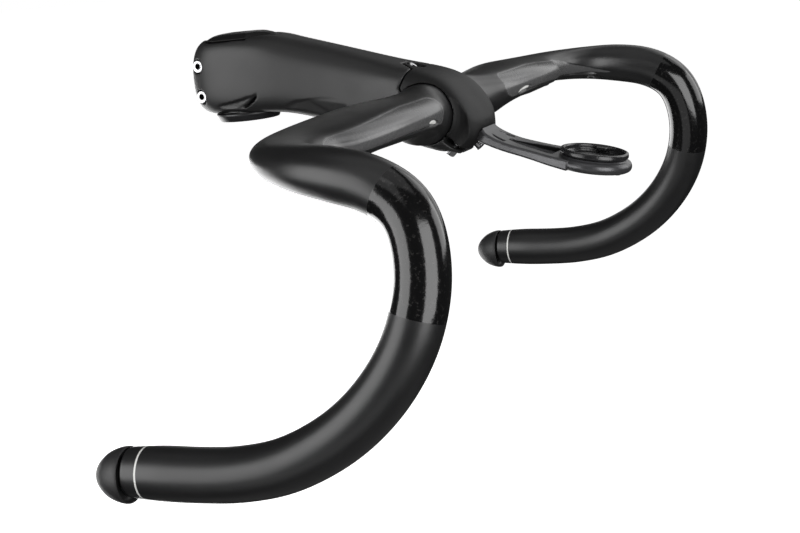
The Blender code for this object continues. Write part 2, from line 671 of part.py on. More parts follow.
def computer_mount_arm():
    """Slotted arm under the faceplate, widening into a ring for the receiver."""
    rows = [
        # x and z of the upper face's middle, half-width, thickness
        (27.0, -12.0, 12.0, 6.4),
        (31.0, -14.7, 12.2, 5.4),
        (35.5, -17.2, 12.4, 4.9),
        (41.0, -19.6, 12.8, 4.6),
        (48.0, -21.9, 13.4, 4.6),
        (56.0, -24.3, 14.6, 4.9),
        (64.0, -26.6, 16.4, 5.3),
        (74.0, -29.2, 18.4, 5.7),
    ]
    chamfer = 0.8
    rings = []
    for k, (x, z, half, thick) in enumerate(rows):
        previous = rows[max(k - 1, 0)]
        following = rows[min(k + 1, len(rows) - 1)]
        along = Vector((following[0] - previous[0], 0, following[1] - previous[1])).normalized()
        if k == 0:
            along = X
        normal = Vector((-along.z, 0, along.x))
        section = [
            (half - chamfer, 0.0), (half, -chamfer), (half, chamfer - thick), (half - chamfer, -thick),
            (chamfer - half, -thick), (-half, chamfer - thick), (-half, -chamfer), (chamfer - half, 0.0),
        ]
        ring = []
        for side, height in section:
            ring.append(CLAMP + (Vector((x, side, z)) + normal * height) * MM)
        rings.append(ring)
    arm = closed_mesh("computer_mount_arm", rings)
    ring_base = RECEIVER_ORIGIN - RECEIVER_AXIS * RING_HEIGHT
    bulge = turned("ring", [(RING_RADIUS - 2.0 * MM, 0.0), (RING_RADIUS, 1.8 * MM),
                            (RING_RADIUS, 4.0 * MM), (RING_RADIUS - 1.2 * MM, RING_HEIGHT)],
                   ring_base, RECEIVER_AXIS, 36)
    tongue = sector("tongue", MOUNT_SADDLE_RADIUS + GAP, 27.0 * MM, 28, 60, MOUNT_NOTCH_HALF - GAP)
    neck = prism("neck", [(21.0 * MM, -12.6 * MM), (22.0 * MM, -18.8 * MM), (29.0 * MM, -18.0 * MM),
                          (29.0 * MM, -14.6 * MM), (24.4 * MM, -13.2 * MM)],
                 CLAMP, X, Z, GAP - MOUNT_NOTCH_HALF, MOUNT_NOTCH_HALF - GAP)
    slot = []
    for k in range(5):
        angle = math.radians(90 + 45 * k)
        slot.append(((40.0 + 2.0 * math.cos(angle)) * MM, 2.0 * MM * math.sin(angle)))
    slot += [(60.4 * MM, -9.7 * MM), (63.5 * MM, -8.2 * MM), (63.5 * MM, 8.2 * MM), (60.4 * MM, 9.7 * MM)]
    face, axis = mount_screw()
    steps = [
        ("UNION", bulge),
        ("UNION", tongue),
        ("UNION", neck),
        ("DIFFERENCE", prism("slot", slot, CLAMP, X, Y, -60 * MM, 0.0)),
        ("DIFFERENCE", rod("bore", RECEIVER_ORIGIN - RECEIVER_AXIS * RING_BORE_DEPTH, RECEIVER_AXIS,
                           OVERCUT, RING_BORE_RADIUS, 32)),
        ("DIFFERENCE", rod("window", ring_base - RECEIVER_AXIS * 5 * MM, RECEIVER_AXIS, OVERCUT,
                           RING_WINDOW_RADIUS, 32)),
        ("DIFFERENCE", rod("screw", face - axis * 30 * MM, axis, 60 * MM, SHANK_HOLE_RADIUS, 12)),
        ("DIFFERENCE", rod("head", face - axis * HEAD_HEIGHT, axis, OVERCUT, HEAD_POCKET_RADIUS)),
    ]
    for name, base in receiver_screws():
        steps.append(("DIFFERENCE", rod("hole", base - RECEIVER_AXIS * 5 * MM, RECEIVER_AXIS, 12 * MM,
                                        RECEIVER_HOLE_RADIUS, 12)))
        steps.append(("DIFFERENCE", rod("pocket", base - RECEIVER_AXIS * 8 * MM, RECEIVER_AXIS, 8 * MM,
                                        RECEIVER_HEAD_RADIUS + 0.5 * MM, 12)))
    mesh = combine(arm, steps)
    add_object("computer_mount_arm", mesh, ANODISED)
    add_object("mount_screw", screw_shape("mount_screw", face, axis, MOUNT_SHANK), STEEL)


def receiver_screws():
    """Name and underside point of the two small screws that hold the receiver."""
    points = []
    for name, side in (("rear", -1), ("front", 1)):
        ring_base = RECEIVER_ORIGIN - RECEIVER_AXIS * RING_HEIGHT
        base = ring_base + RECEIVER_FORWARD * (side * RECEIVER_SCREW_OFFSET)
        points.append((name, base))
    return points


def computer_receiver():
    """Quarter-turn socket that sits in the arm's ring, and its two screws."""
    outer = RECEIVER_RADIUS
    profile = [
        (RECEIVER_FOOT_RADIUS, GAP - RING_BORE_DEPTH),
        (RECEIVER_FOOT_RADIUS + 0.1 * MM, GAP),
        (outer - 0.6 * MM, GAP),
        (outer, 1.0 * MM),
        (outer - 0.2 * MM, 3.0 * MM),
        (outer - 1.6 * MM, 3.4 * MM),
        (outer - 2.2 * MM, 2.6 * MM),
        (outer - 2.4 * MM, -0.6 * MM),
        (SEAT_RADIUS + 0.3 * MM, -0.6 * MM),
        (SEAT_RADIUS, SEAT_HEIGHT),
    ]
    cup = turned("computer_receiver", profile, RECEIVER_ORIGIN, RECEIVER_AXIS, 36)
    steps = []
    for side in (-1, 1):
        outline = [(15.9 * MM, -3.6 * MM), (15.9 * MM, 3.6 * MM), (11.8 * MM, 2.8 * MM), (11.8 * MM, -2.8 * MM)]
        outline = [(side * a, side * b) for a, b in outline]
        tab = prism("tab", outline, RECEIVER_ORIGIN, Y, -RECEIVER_FORWARD, 0.9 * MM, 2.5 * MM)
        steps.append(("UNION", tab))
    for name, base in receiver_screws():
        steps.append(("DIFFERENCE", rod("hole", base, RECEIVER_AXIS, 4.9 * MM, RECEIVER_HOLE_RADIUS, 12)))
    mesh = combine(cup, steps)
    add_object("computer_receiver", mesh, RECEIVER_PLASTIC)
    for name, base in receiver_screws():
        node = "receiver_screw_" + name
        profile = [(RECEIVER_HEAD_RADIUS - 1 * MM, -1.7 * MM), (RECEIVER_HEAD_RADIUS, -1.2 * MM),
                   (RECEIVER_HEAD_RADIUS, -GAP), (RECEIVER_SCREW_RADIUS, -GAP),
                   (RECEIVER_SCREW_RADIUS, 4.4 * MM)]
        add_object(node, turned(node, profile, base, RECEIVER_AXIS, 12), STEEL)


def build():
    for obj in list(bpy.data.objects):
        bpy.data.objects.remove(obj)
    handlebar()
    end_plug("end_plug_right", -1)
    end_plug("end_plug_left", 1)
    stem_body()
    faceplate()
    fasteners()
    top_cap()
    lower_spacer()
    computer_mount_arm()
    computer_receiver()


build()
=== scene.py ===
"""Looks of the road-bicycle cockpit: pieces, materials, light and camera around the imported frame.

Frame: +X forward, +Y to the rider's left, +Z up the steerer axis. Lengths are in metres.
"""

from math import cos, pi, radians, sin

import bmesh
import bpy
import numpy as np
from mathutils import Matrix, Vector


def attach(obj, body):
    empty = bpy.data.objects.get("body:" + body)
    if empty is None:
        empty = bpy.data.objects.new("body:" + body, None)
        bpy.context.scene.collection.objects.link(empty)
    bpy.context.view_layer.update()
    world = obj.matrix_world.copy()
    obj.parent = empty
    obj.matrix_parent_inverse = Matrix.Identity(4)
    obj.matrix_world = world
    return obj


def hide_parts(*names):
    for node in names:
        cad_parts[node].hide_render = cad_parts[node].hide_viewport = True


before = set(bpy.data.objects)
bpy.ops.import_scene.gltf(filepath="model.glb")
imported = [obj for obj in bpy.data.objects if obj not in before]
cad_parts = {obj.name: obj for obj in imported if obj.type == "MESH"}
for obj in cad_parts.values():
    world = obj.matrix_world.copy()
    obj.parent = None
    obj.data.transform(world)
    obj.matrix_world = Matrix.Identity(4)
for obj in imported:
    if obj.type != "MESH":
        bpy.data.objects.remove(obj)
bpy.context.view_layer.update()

MM = 0.001
GAP = 0.3 * MM
SEAM = 0.55 * MM
SIDES = (-1, 1)

# Stem and clamp, as in the CAD
STEM_REACH = 112.5 * MM
CLAMP_HEIGHT = -2.6 * MM
CLAMP_HALF_WIDTH = 24 * MM
STEERER_BORE = 14.4 * MM
SPACER_HEIGHT = 4.4 * MM
SPACER_RADIUS = 18 * MM
SPACER_FOOT_RADIUS = 16.4 * MM
CAP_SEAT = 43.8 * MM
CAP_THICKNESS = 3.8 * MM
CAP_HALF_WIDTH = 17 * MM
CAP_ROUND_DEPTH = 13.5 * MM
CAP_POINT_X = 23.4 * MM
CAP_BOLT_SINK = 0.6 * MM
SPLIT_TILT = radians(43)
UPPER_BOLT_OFFSET = 24.6 * MM
LOWER_BOLT_OFFSET = 21.6 * MM
LOWER_BOLT_Y = 13 * MM
TONGUE_REAR = 16.2 * MM
SLIT_HALF_WIDTH = 0.7 * MM
PINCH_FACE = (-20.8 * MM, -14.6 * MM)
PINCH_HEIGHTS = (("upper", 31.8 * MM), ("lower", 15 * MM))
PINCH_TILT = radians(12)

# Handlebar, as in the CAD, in millimetres
CLAMP_ROUND = 15.9
TUBE_RADIUS = 12.0
BAR_WALL = 2.2
TAIL_END_RADIUS = 11.0
HOOD_HALF_SPACING = 225.0
DROP_HALF_SPACING = 247.3
DROP = 123.0
TAIL_END_X = -62.4
TAIL_END_Z = -122.0
WING_TILT = radians(7)

# Computer mount, as in the CAD
RING_TILT = radians(12)
RING_RADIUS = 20 * MM
RING_HEIGHT = 6.6 * MM
RING_BORE = 15.4 * MM
RING_BORE_DEPTH = 4 * MM
RING_WINDOW = 10 * MM
RECEIVER_RADIUS = 17.8 * MM
RECEIVER_FOOT_RADIUS = 14.9 * MM
SEAT_RADIUS = 9 * MM
SEAT_HEIGHT = -0.1 * MM
MOUNT_NOTCH_HALF = 7.3 * MM
MOUNT_SADDLE = 20.4 * MM
SMALL_SCREW_OFFSET = 12.6 * MM
SMALL_SCREW_RADIUS = 1.2 * MM
SMALL_SCREW_HOLE = 1.6 * MM
SMALL_HEAD_RADIUS = 2.6 * MM

# M4 fasteners, as in the CAD
SHANK_RADIUS = 2 * MM
SHANK_HOLE = 2.5 * MM
HEAD_RADIUS = 3.5 * MM
HEAD_HEIGHT = 4 * MM
HEAD_POCKET = 4.3 * MM
HEX_RADIUS = 1.5 * MM
INSERT_RADIUS = 3.8 * MM
INSERT_LENGTH = 8 * MM
LOWER_INSERT_RADIUS = 3 * MM
LOWER_INSERT_LENGTH = 4.8 * MM
PINCH_NUT_RADIUS = 3 * MM
PINCH_NUT_DEPTH = 23 * MM
CLAMP_SHANK = 14 * MM
PINCH_SHANK = 21 * MM
MOUNT_SHANK = 9.4 * MM
OVERCUT = 20 * MM

X = Vector((1, 0, 0))
Y = Vector((0, 1, 0))
Z = Vector((0, 0, 1))
ORIGIN = Vector((0, 0, 0))
CLAMP = Vector((STEM_REACH, 0, CLAMP_HEIGHT))
SPLIT_NORMAL = Vector((cos(SPLIT_TILT), 0, sin(SPLIT_TILT)))
SPLIT_UP = Vector((-sin(SPLIT_TILT), 0, cos(SPLIT_TILT)))
SEAT_AXIS = Vector((sin(RING_TILT), 0, cos(RING_TILT)))
SEAT_FORWARD = Vector((cos(RING_TILT), 0, -sin(RING_TILT)))
SEAT_ORIGIN = CLAMP + Vector((83 * MM, 0, -30 * MM))


# ---- mesh tools

def mm(*rows):
    """Rows of numbers in millimetres, turned into metres."""
    return [tuple(value * MM for value in row) for row in rows]


def around(radius, *rows):
    """Profile points: steps out from a radius, and heights, in millimetres."""
    return [(radius + step * MM, height * MM) for step, height in rows]


def rectangle(left, low, right, high):
    """Outline of a rectangle given in millimetres."""
    return mm((left, low), (right, low), (right, high), (left, high))


def ring_mesh(rings, wrap=False):
    """Skin equal rings of points; wrap joins the last to the first, or else both ends close."""
    count = len(rings[0])
    points = [tuple(point) for ring in rings for point in ring]
    faces = []
    last = len(rings) if wrap else len(rings) - 1
    for k in range(last):
        a = k * count
        b = ((k + 1) % len(rings)) * count
        for i in range(count):
            j = (i + 1) % count
            faces.append((a + i, a + j, b + j, b + i))
    if not wrap:
        faces.append(tuple(reversed(range(count))))
        faces.append(tuple(range(len(points) - count, len(points))))
    mesh = bpy.data.meshes.new("mesh")
    mesh.from_pydata(points, [], faces)
    bm = bmesh.new()
    bm.from_mesh(mesh)
    bmesh.ops.recalc_face_normals(bm, faces=bm.faces)
    bm.to_mesh(mesh)
    bm.free()
    return mesh


def turned(profile, origin, axis, segments=64, wrap=False, hexed=()):
    """Turn (radius, height) points about an axis; wrap makes a ring with a hole.

    hexed gives the share of a hexagon in the shape of each ring, from 0 to 1.
    """
    place = Matrix.Translation(origin) @ axis.to_track_quat("Z", "Y").to_matrix().to_4x4()
    rings = []
    for k, (radius, height) in enumerate(profile):
        ring = []
        for i in range(segments):
            angle = 2 * pi * i / segments
            reach = radius
            if hexed:
                spread = 1 / cos((angle + pi / 6) % (pi / 3) - pi / 6)
                reach = radius * (1 + (spread - 1) * hexed[k])
            ring.append(place @ Vector((reach * cos(angle), reach * sin(angle), height)))
        rings.append(ring)
    return ring_mesh(rings, wrap)


def rounded(profile, radius, steps=4, closed=False):
    """Replace each corner of a (radius, height) profile by a short arc."""
    count = len(profile)
    out = []
    for k, here in enumerate(profile):
        if not closed and k in (0, count - 1):
            out.append(here)
            continue
        here = Vector(here)
        before = Vector(profile[k - 1])
        after = Vector(profile[(k + 1) % count])
        reach = min(radius, (before - here).length * 0.45, (after - here).length * 0.45)
        start = here + (before - here).normalized() * reach
        end = here + (after - here).normalized() * reach
        for s in range(steps + 1):
            t = s / steps
            point = start * (1 - t) ** 2 + here * (2 * t * (1 - t)) + end * t ** 2
            out.append((point.x, point.y))
    return out


def prism(outline, origin, u, v, depth_from, depth_to):
    """Extrude an outline of (u, v) points along u x v."""
    w = u.cross(v)
    rings = []
    for depth in (depth_from, depth_to):
        rings.append([origin + u * a + v * b + w * depth for a, b in outline])
    return ring_mesh(rings)


def rod(start, axis, length, radius, segments=48):
    """Plain cylinder from start along axis."""
    return turned([(radius, 0.0), (radius, length)], start, axis, segments)


def torus(origin, axis, ring_radius, tube_radius, segments=120, sides=28):
    """Ring of round section about an axis."""
    profile = []
    for k in range(sides):
        angle = 2 * pi * k / sides
        profile.append((ring_radius + tube_radius * cos(angle), tube_radius * sin(angle)))
    return turned(profile, origin, axis, segments, wrap=True)


def placed(name, data):
    """New object in the scene with this data."""
    obj = bpy.data.objects.new(name, data)
    bpy.context.collection.objects.link(obj)
    return obj


def baked(obj):
    """The object's mesh with its modifiers applied; the object is removed."""
    graph = bpy.context.evaluated_depsgraph_get()
    result = bpy.data.meshes.new_from_object(obj.evaluated_get(graph))
    bpy.data.objects.remove(obj)
    return result


def cuts(*meshes):
    """Steps that take meshes away, for combine."""
    return [("DIFFERENCE", mesh) for mesh in meshes]


def joins(*meshes):
    """Steps that add meshes, for combine."""
    return [("UNION", mesh) for mesh in meshes]


def combine(base_mesh, steps):
    """Apply a row of exact booleans, each ("DIFFERENCE" | "UNION" | "INTERSECT", mesh)."""
    base = placed("base", base_mesh)
    tools = []
    for operation, mesh in steps:
        tool = placed("tool", mesh)
        tools.append(tool)
        modifier = base.modifiers.new(operation, "BOOLEAN")
        modifier.operation = operation
        modifier.solver = "EXACT"
        modifier.object = tool
    result = baked(base)
    for tool in tools:
        bpy.data.objects.remove(tool)
    return result


def softened(mesh, voxel, rounds):
    """Even out a boolean result: fine voxel skin, then a little smoothing of its edges."""
    obj = placed("rough", mesh)
    remesh = obj.modifiers.new("skin", "REMESH")
    remesh.mode = "VOXEL"
    remesh.voxel_size = voxel
    smooth = obj.modifiers.new("soft", "SMOOTH")
    smooth.factor = 0.5
    smooth.iterations = rounds
    return baked(obj)


def piece(name, mesh, node, finish, sharp=None, body="stem"):
    """One named piece of the object, standing for a CAD node."""
    mesh.name = name
    obj = placed(name, mesh)
    mesh.materials.clear()
    mesh.materials.append(finish)
    mesh.shade_smooth()
    if sharp:
        mesh.set_sharp_from_angle(angle=radians(sharp))
    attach(obj, body)
    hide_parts(node)
    return obj


def mark(mesh, name, values):
    """Store one number per point of the mesh, for its finish to read."""
    layer = mesh.attributes.new(name, "FLOAT", "POINT")
    layer.data.foreach_set("value", np.asarray(values, np.float32))


def spline(rows, steps):
    """Catmull-Rom curve through rows of numbers."""
    rows = np.array(rows, float)
    padded = np.vstack([rows[0], rows, rows[-1]])
    t = (np.arange(steps) / steps)[:, None]
    parts = []
    for k in range(len(rows) - 1):
        a, b, c, d = padded[k:k + 4]
        parts.append((2 * b + (c - a) * t + (2 * a - 5 * b + 4 * c - d) * t ** 2
                      + (3 * b - a - 3 * c + d) * t ** 3) / 2)
    return np.vstack([*parts, rows[-1:]])


def relaxed(rows, rounds):
    """Rows with their inner members evened out."""
    rows = rows.copy()
    for _ in range(rounds):
        rows[1:-1] = rows[1:-1] * 0.5 + (rows[:-2] + rows[2:]) * 0.25
    return rows


def ease(low, high, value):
    """Smooth rise from 0 to 1 as the value goes from low to high."""
    t = np.clip((value - low) / (high - low), 0.0, 1.0)
    return t * t * (3 - 2 * t)


# ---- materials

class Finish:
    """A Principled material with procedural inputs."""

    def __init__(self, name, roughness, metallic=0.0):
        self.material = bpy.data.materials.new(name)
        self.material.use_nodes = True
        self.tree = self.material.node_tree
        self.shader = self.tree.nodes["Principled BSDF"]
        self.shader.inputs["Roughness"].default_value = roughness
        self.shader.inputs["Metallic"].default_value = metallic
        self.shader.inputs["IOR"].default_value = 1.5
        self.place = self.tree.nodes.new("ShaderNodeTexCoord").outputs["Object"]

    def link(self, source, socket):
        self.tree.links.new(source, self.shader.inputs[socket])

    def node(self, kind, output, settings=(), **inputs):
        """One output of a new node; an input is a number or the output of another node."""
        node = self.tree.nodes.new("ShaderNode" + kind)
        for name, value in settings:
            setattr(node, name, value)
        for name, value in inputs.items():
            self.feed(value, node.inputs[name.replace("_", " ")])
        return node.outputs[output]

    def feed(self, value, socket):
        if isinstance(value, bpy.types.NodeSocket):
            self.tree.links.new(value, socket)
        else:
            socket.default_value = value

    def attribute(self, name):
        return self.node("Attribute", "Fac", [("attribute_name", name)])

    def noise(self, scale, detail=3.0, roughness=0.5):
        return self.node("TexNoise", "Fac", Scale=scale, Detail=detail, Roughness=roughness,
                         Vector=self.place)

    def ramp(self, source, low, high, out_low=0.0, out_high=1.0):
        """Smooth rise from one output to another as the source goes from low to high."""
        return self.node("MapRange", "Result", [("interpolation_type", "SMOOTHSTEP")], Value=source,
                         From_Min=low, From_Max=high, To_Min=out_low, To_Max=out_high)

    def math(self, operation, *values):
        node = self.tree.nodes.new("ShaderNodeMath")
        node.operation = operation
        for socket, value in zip(node.inputs, values):
            self.feed(value, socket)
        return node.outputs[0]

    def times(self, a, b):
        return self.math("MULTIPLY", a, b)

    def weighed(self, a, share_a, b, share_b):
        """Sum of two values with a weight each."""
        return self.math("ADD", self.times(a, share_a), self.times(b, share_b))

    def mix(self, share, a, b):
        """Blend two colours; each is a tuple or a socket."""
        node = self.tree.nodes.new("ShaderNodeMix")
        node.data_type = "RGBA"
        colour_a, colour_b = [s for s in node.inputs if s.type == "RGBA"]
        for socket, value in ((colour_a, a), (colour_b, b)):
            self.feed((*value, 1.0) if isinstance(value, tuple) else value, socket)
        self.feed(share, node.inputs["Factor"])
        return [s for s in node.outputs if s.type == "RGBA"][0]

    def bump(self, height, strength, distance):
        normal = self.node("Bump", "Normal", Strength=strength, Distance=distance, Height=height)
        self.link(normal, "Normal")


def matt_base(f, dark, light, smooth, rough):
    """Fine grain, colour and roughness of matt clear-coated carbon with faint mottling."""
    mottle = f.noise(90, 4)
    fine = f.noise(2600, 2)
    colour = f.mix(f.weighed(mottle, 0.6, fine, 0.4), dark, light)
    return fine, colour, f.ramp(f.weighed(mottle, 0.5, fine, 0.5), 0.25, 0.75, smooth, rough)


def matt_carbon(name, shade, roughness, specular=0.5):
    """Matt clear-coated carbon, near black."""
    f = Finish(name, roughness)
    f.shader.inputs["Specular IOR Level"].default_value = specular
    dark = tuple(shade * k for k in (0.80, 0.80, 0.82))
    light = tuple(shade * k for k in (1.22, 1.22, 1.24))
    fine, colour, rough = matt_base(f, dark, light, roughness - 0.035, roughness + 0.035)
    f.link(colour, "Base Color")
    f.link(rough, "Roughness")
    f.bump(fine, 0.25, 0.00006)
    return f.material


def bar_finish():
    """The bar's finish: matt carbon, a satin grey panel, a gloss speckled band, a pale line and a pale
    painted highlight in each inner cable port.

    The attribute run is the distance in mm along the bar from its middle.
    """
    f = Finish("bar_carbon", 0.45)
    run = f.attribute("run")
    band = f.times(f.ramp(run, 267.3, 267.7), f.ramp(run, 324.5, 324.1))
    in_panel = f.ramp(f.attribute("panel"), 0.15, -0.15)
    line = f.times(f.ramp(run, 480.95, 481.15), f.ramp(run, 482.05, 481.85))
    fine, matt, rough = matt_base(f, (0.007, 0.007, 0.0073), (0.011, 0.011, 0.0114), 0.33, 0.40)
    chips = f.noise(620, 2, 0.65)
    chip_light = f.ramp(chips, 0.56, 0.72)
    sparks = f.node("TexVoronoi", "Color", Scale=900, Vector=f.place)
    spark_light = f.ramp(sparks, 0.72, 0.95)
    speckle = f.math("MAXIMUM", f.times(chip_light, 0.55),
                     f.times(spark_light, chip_light))
    speckled = f.mix(speckle, (0.004, 0.004, 0.0042), (0.034, 0.033, 0.032))
    panelled = f.mix(f.ramp(chips, 0.35, 0.8), (0.068, 0.068, 0.069), (0.086, 0.086, 0.087))
    colour = f.mix(band, matt, speckled)
    colour = f.mix(in_panel, colour, panelled)
    colour = f.mix(line, colour, (0.62, 0.62, 0.60))
    # Painted highlight: a pale spot in each inner cable port stands for light showing through the port
    colour = f.mix(f.attribute("painted_glint"), colour, (0.80, 0.80, 0.78))
    f.link(colour, "Base Color")
    gloss = f.math("MAXIMUM", band, f.times(in_panel, 0.45))
    keep = f.math("SUBTRACT", 1, f.times(gloss, 0.62))
    f.link(f.times(rough, keep), "Roughness")
    height = f.math("ADD", f.times(fine, f.math("SUBTRACT", 1, gloss)),
                    f.times(f.times(chips, band), 2.2))
    f.bump(height, 0.25, 0.00006)
    return f.material


def paint_recess_shade(f, colour, rough, dark, dull):
    """Set colour and roughness: painted shade makes the colour darker where the mesh is marked as recess, and
    the roughness is duller there.
    """
    recess_shade = f.attribute("recess_shade")
    f.link(f.mix(recess_shade, colour, (dark, dark, dark)), "Base Color")
    f.link(f.math("MAXIMUM", rough, f.times(recess_shade, dull)), "Roughness")


def metal(name, colour, roughness):
    """Plain machined metal with fine tool grain."""
    f = Finish(name, roughness, metallic=1)
    grain = f.noise(1800, 2)
    plain = f.mix(f.noise(240, 3), tuple(c * 0.86 for c in colour), colour)
    # Painted shade: the colour goes near black in marked recesses, such as a screw's socket
    paint_recess_shade(f, plain, f.ramp(grain, 0.3, 0.7, roughness - 0.08, roughness + 0.08), 0.012, 0.7)
    f.bump(grain, 0.10, 0.00004)
    return f.material


def satin(name, colour, roughness, grain_scale=2200, strength=0.15, metallic=0):
    """Satin dark surface: anodised metal, moulded plastic or rubber by its numbers."""
    f = Finish(name, roughness, metallic)
    grain = f.noise(grain_scale, 3)
    plain = f.mix(f.noise(160, 3), tuple(c * 0.85 for c in colour), tuple(c * 1.2 for c in colour))
    # Painted shade: the colour goes near black in marked recesses, such as the mount arm's slot
    paint_recess_shade(f, plain, f.ramp(grain, 0.25, 0.75, roughness - 0.05, roughness + 0.05), 0.002, 0.9)
    f.bump(grain, strength, 0.00006)
    return f.material


STEM_CARBON = matt_carbon("stem_carbon", 0.010, 0.47)
FACEPLATE_CARBON = matt_carbon("faceplate_carbon", 0.008, 0.50, specular=0.17)
CAP_CARBON = matt_carbon("cap_matt_carbon", 0.008, 0.40, specular=0.16)
BAR_CARBON = bar_finish()
STEEL = metal("bright_steel", (0.50, 0.50, 0.51), 0.30)
ALLOY = metal("plain_alloy", (0.55, 0.55, 0.56), 0.35)
DARK_STEEL = metal("black_oxide_steel", (0.055, 0.055, 0.057), 0.34)
ANODISED = satin("black_anodised", (0.060, 0.060, 0.063), 0.32, metallic=0.5)
SPACER_BLACK = satin("spacer_black", (0.010, 0.010, 0.011), 0.36)
RECEIVER_PLASTIC = satin("receiver_moulded", (0.012, 0.012, 0.013), 0.25)
RUBBER = satin("plug_rubber_matt", (0.012, 0.012, 0.0125), 0.52, 1500, 0.35)


# ---- handlebar

def flare(z):
    """Distance of the hook from the mid plane at height z above the bar axis."""
    share = min(1.0, max(0.0, -z / DROP))
    return HOOD_HALF_SPACING + (DROP_HALF_SPACING - HOOD_HALF_SPACING) * share


def bar_stations():
    """Rows of x, y, z, half-chord and half-thickness in mm, from the bar's centre to its left end."""
    rows = [
        (0, 0, 0, CLAMP_ROUND, CLAMP_ROUND),
        (0, 27, 0, CLAMP_ROUND, CLAMP_ROUND),
        (2, 41, 1.3, 17, 13),
        (4, 62, 4.2, 20.5, 9.8),
        (4, 100, 5.8, 24, 8.7),
        (-0.6, 140, 4.3, 24.3, 8.2),
        (-4, 168, 3.1, 19.6, 8.3),
        (3.6, 195, 2.3, 15.4, 9),
        (19.8, 213, 0.9, 13, 10.2),
        (38, 221.5, -1.4, 12.2, 11.6),
        (56, 225.4, -5.8, TUBE_RADIUS, TUBE_RADIUS),
        (70, 227.4, -15.2, TUBE_RADIUS, TUBE_RADIUS),
    ]
    hook = [(76.2, -30), (76.4, -50), (69.7, -71.3), (56.3, -90.9), (37.7, -106.8),
            (14.3, -118.1), (-8, -122.4), (-28, -123), (-46, -122.5)]
    for x, z in hook:
        rows.append((x, flare(z), z, TUBE_RADIUS, TUBE_RADIUS))
    rows.append((TAIL_END_X, DROP_HALF_SPACING, TAIL_END_Z, TAIL_END_RADIUS, TAIL_END_RADIUS))
    return rows


def bar_frames():
    """Dense rows of the left half, each with thirteen numbers in mm.

    They are run, centre, direction of chord, direction of thickness, half-chord,
    half-thickness and flatness.
    """
    half = spline(bar_stations(), 24)
    mirror = half[:0:-1] * np.array([1, -1, 1, 1, 1])
    full = relaxed(np.vstack([mirror, half]), 40)
    rows = full[len(mirror):]
    rows[np.abs(rows[:, 1]) < 26.0, 3:] = CLAMP_ROUND
    centres = rows[:, :3]
    steps = np.linalg.norm(np.diff(centres, axis=0), axis=1)
    run = np.concatenate([[0.0], np.cumsum(steps)])
    tangents = np.gradient(centres, axis=0)
    tangents[0] = (0, 1, 0)
    tangents /= np.linalg.norm(tangents, axis=1)[:, None]
    up = np.array(Z)
    along, across = [], []
    flatness = np.clip((rows[:, 3] - rows[:, 4]) / 6.0, 0.0, 1.0)
    for tangent, flat in zip(tangents, flatness):
        up = up - tangent * up.dot(tangent)
        up /= np.linalg.norm(up)
        chord = np.cross(tangent, up)
        tilt = WING_TILT * flat
        along.append(chord * cos(tilt) - up * sin(tilt))
        across.append(up * cos(tilt) + chord * sin(tilt))
    return np.column_stack([run, centres, np.array(along), np.array(across), rows[:, 3:5], flatness])


def between(x, table):
    """Value at x of a short table of (x, value) pairs."""
    xs, values = zip(*table)
    return np.interp(x, xs, values)


RING_POINTS = 148
PANEL_INNER, PANEL_OUTER = 51.0, 236.0
PANEL_CORNER = 9
OUTSIDE_PANEL = 9
INSIDE_TUBE = 400
# Angles round the section of the panel's upper and lower edge, against the run in mm
PANEL_TOP = ((60, 60), (95, 60), (120, 56), (150, 50), (170, 46),
             (179, 40), (192, 20), (208, 0), (222, -18), (236, -30))
PANEL_LOW = ((60, -20), (90, -22), (120, -25), (150, -28), (175, -31),
             (200, -31), (222, -33), (236, -33))
# Cable ports: run in mm, angle, and half-sizes along the run and round the section
INNER_PORT_RUN, INNER_PORT_ANGLE, INNER_PORT_SIZE = 72.5, radians(-15), (9.5, 2.3)
INNER_PORT_SLOPE = 0.05
HOOD_PORT_RUN, HOOD_PORT_ANGLE, HOOD_PORT_SIZE = 222.0, radians(-58), (9.0, 2.6)


def panel_distance(run, girth, angles):
    """Signed distance in mm to the panel's rounded outline, negative inside, and its lower edge."""
    top = np.interp(radians(between(run, PANEL_TOP)), angles, girth)
    low = np.interp(radians(between(run, PANEL_LOW)), angles, girth)
    half = (top - low) / 2
    corner = min(PANEL_CORNER, half * 0.98)
    over = np.abs(girth - (top + low) / 2) - (half - corner)
    beyond = abs(run - (PANEL_INNER + PANEL_OUTER) / 2) - ((PANEL_OUTER - PANEL_INNER) / 2 - corner)
    outside = np.hypot(np.maximum(over, 0.0), max(beyond, 0.0))
    return outside + np.minimum(np.maximum(over, beyond), 0.0) - corner, low


def oval(run, girth, centre_run, centre_girth, half_sizes, slope=0.0):
    """How far out of an oval a point is: 1 on its rim, 0 at its middle."""
    return np.hypot((run - centre_run) / half_sizes[0],
                    (girth - centre_girth - slope * (run - centre_run)) / half_sizes[1])


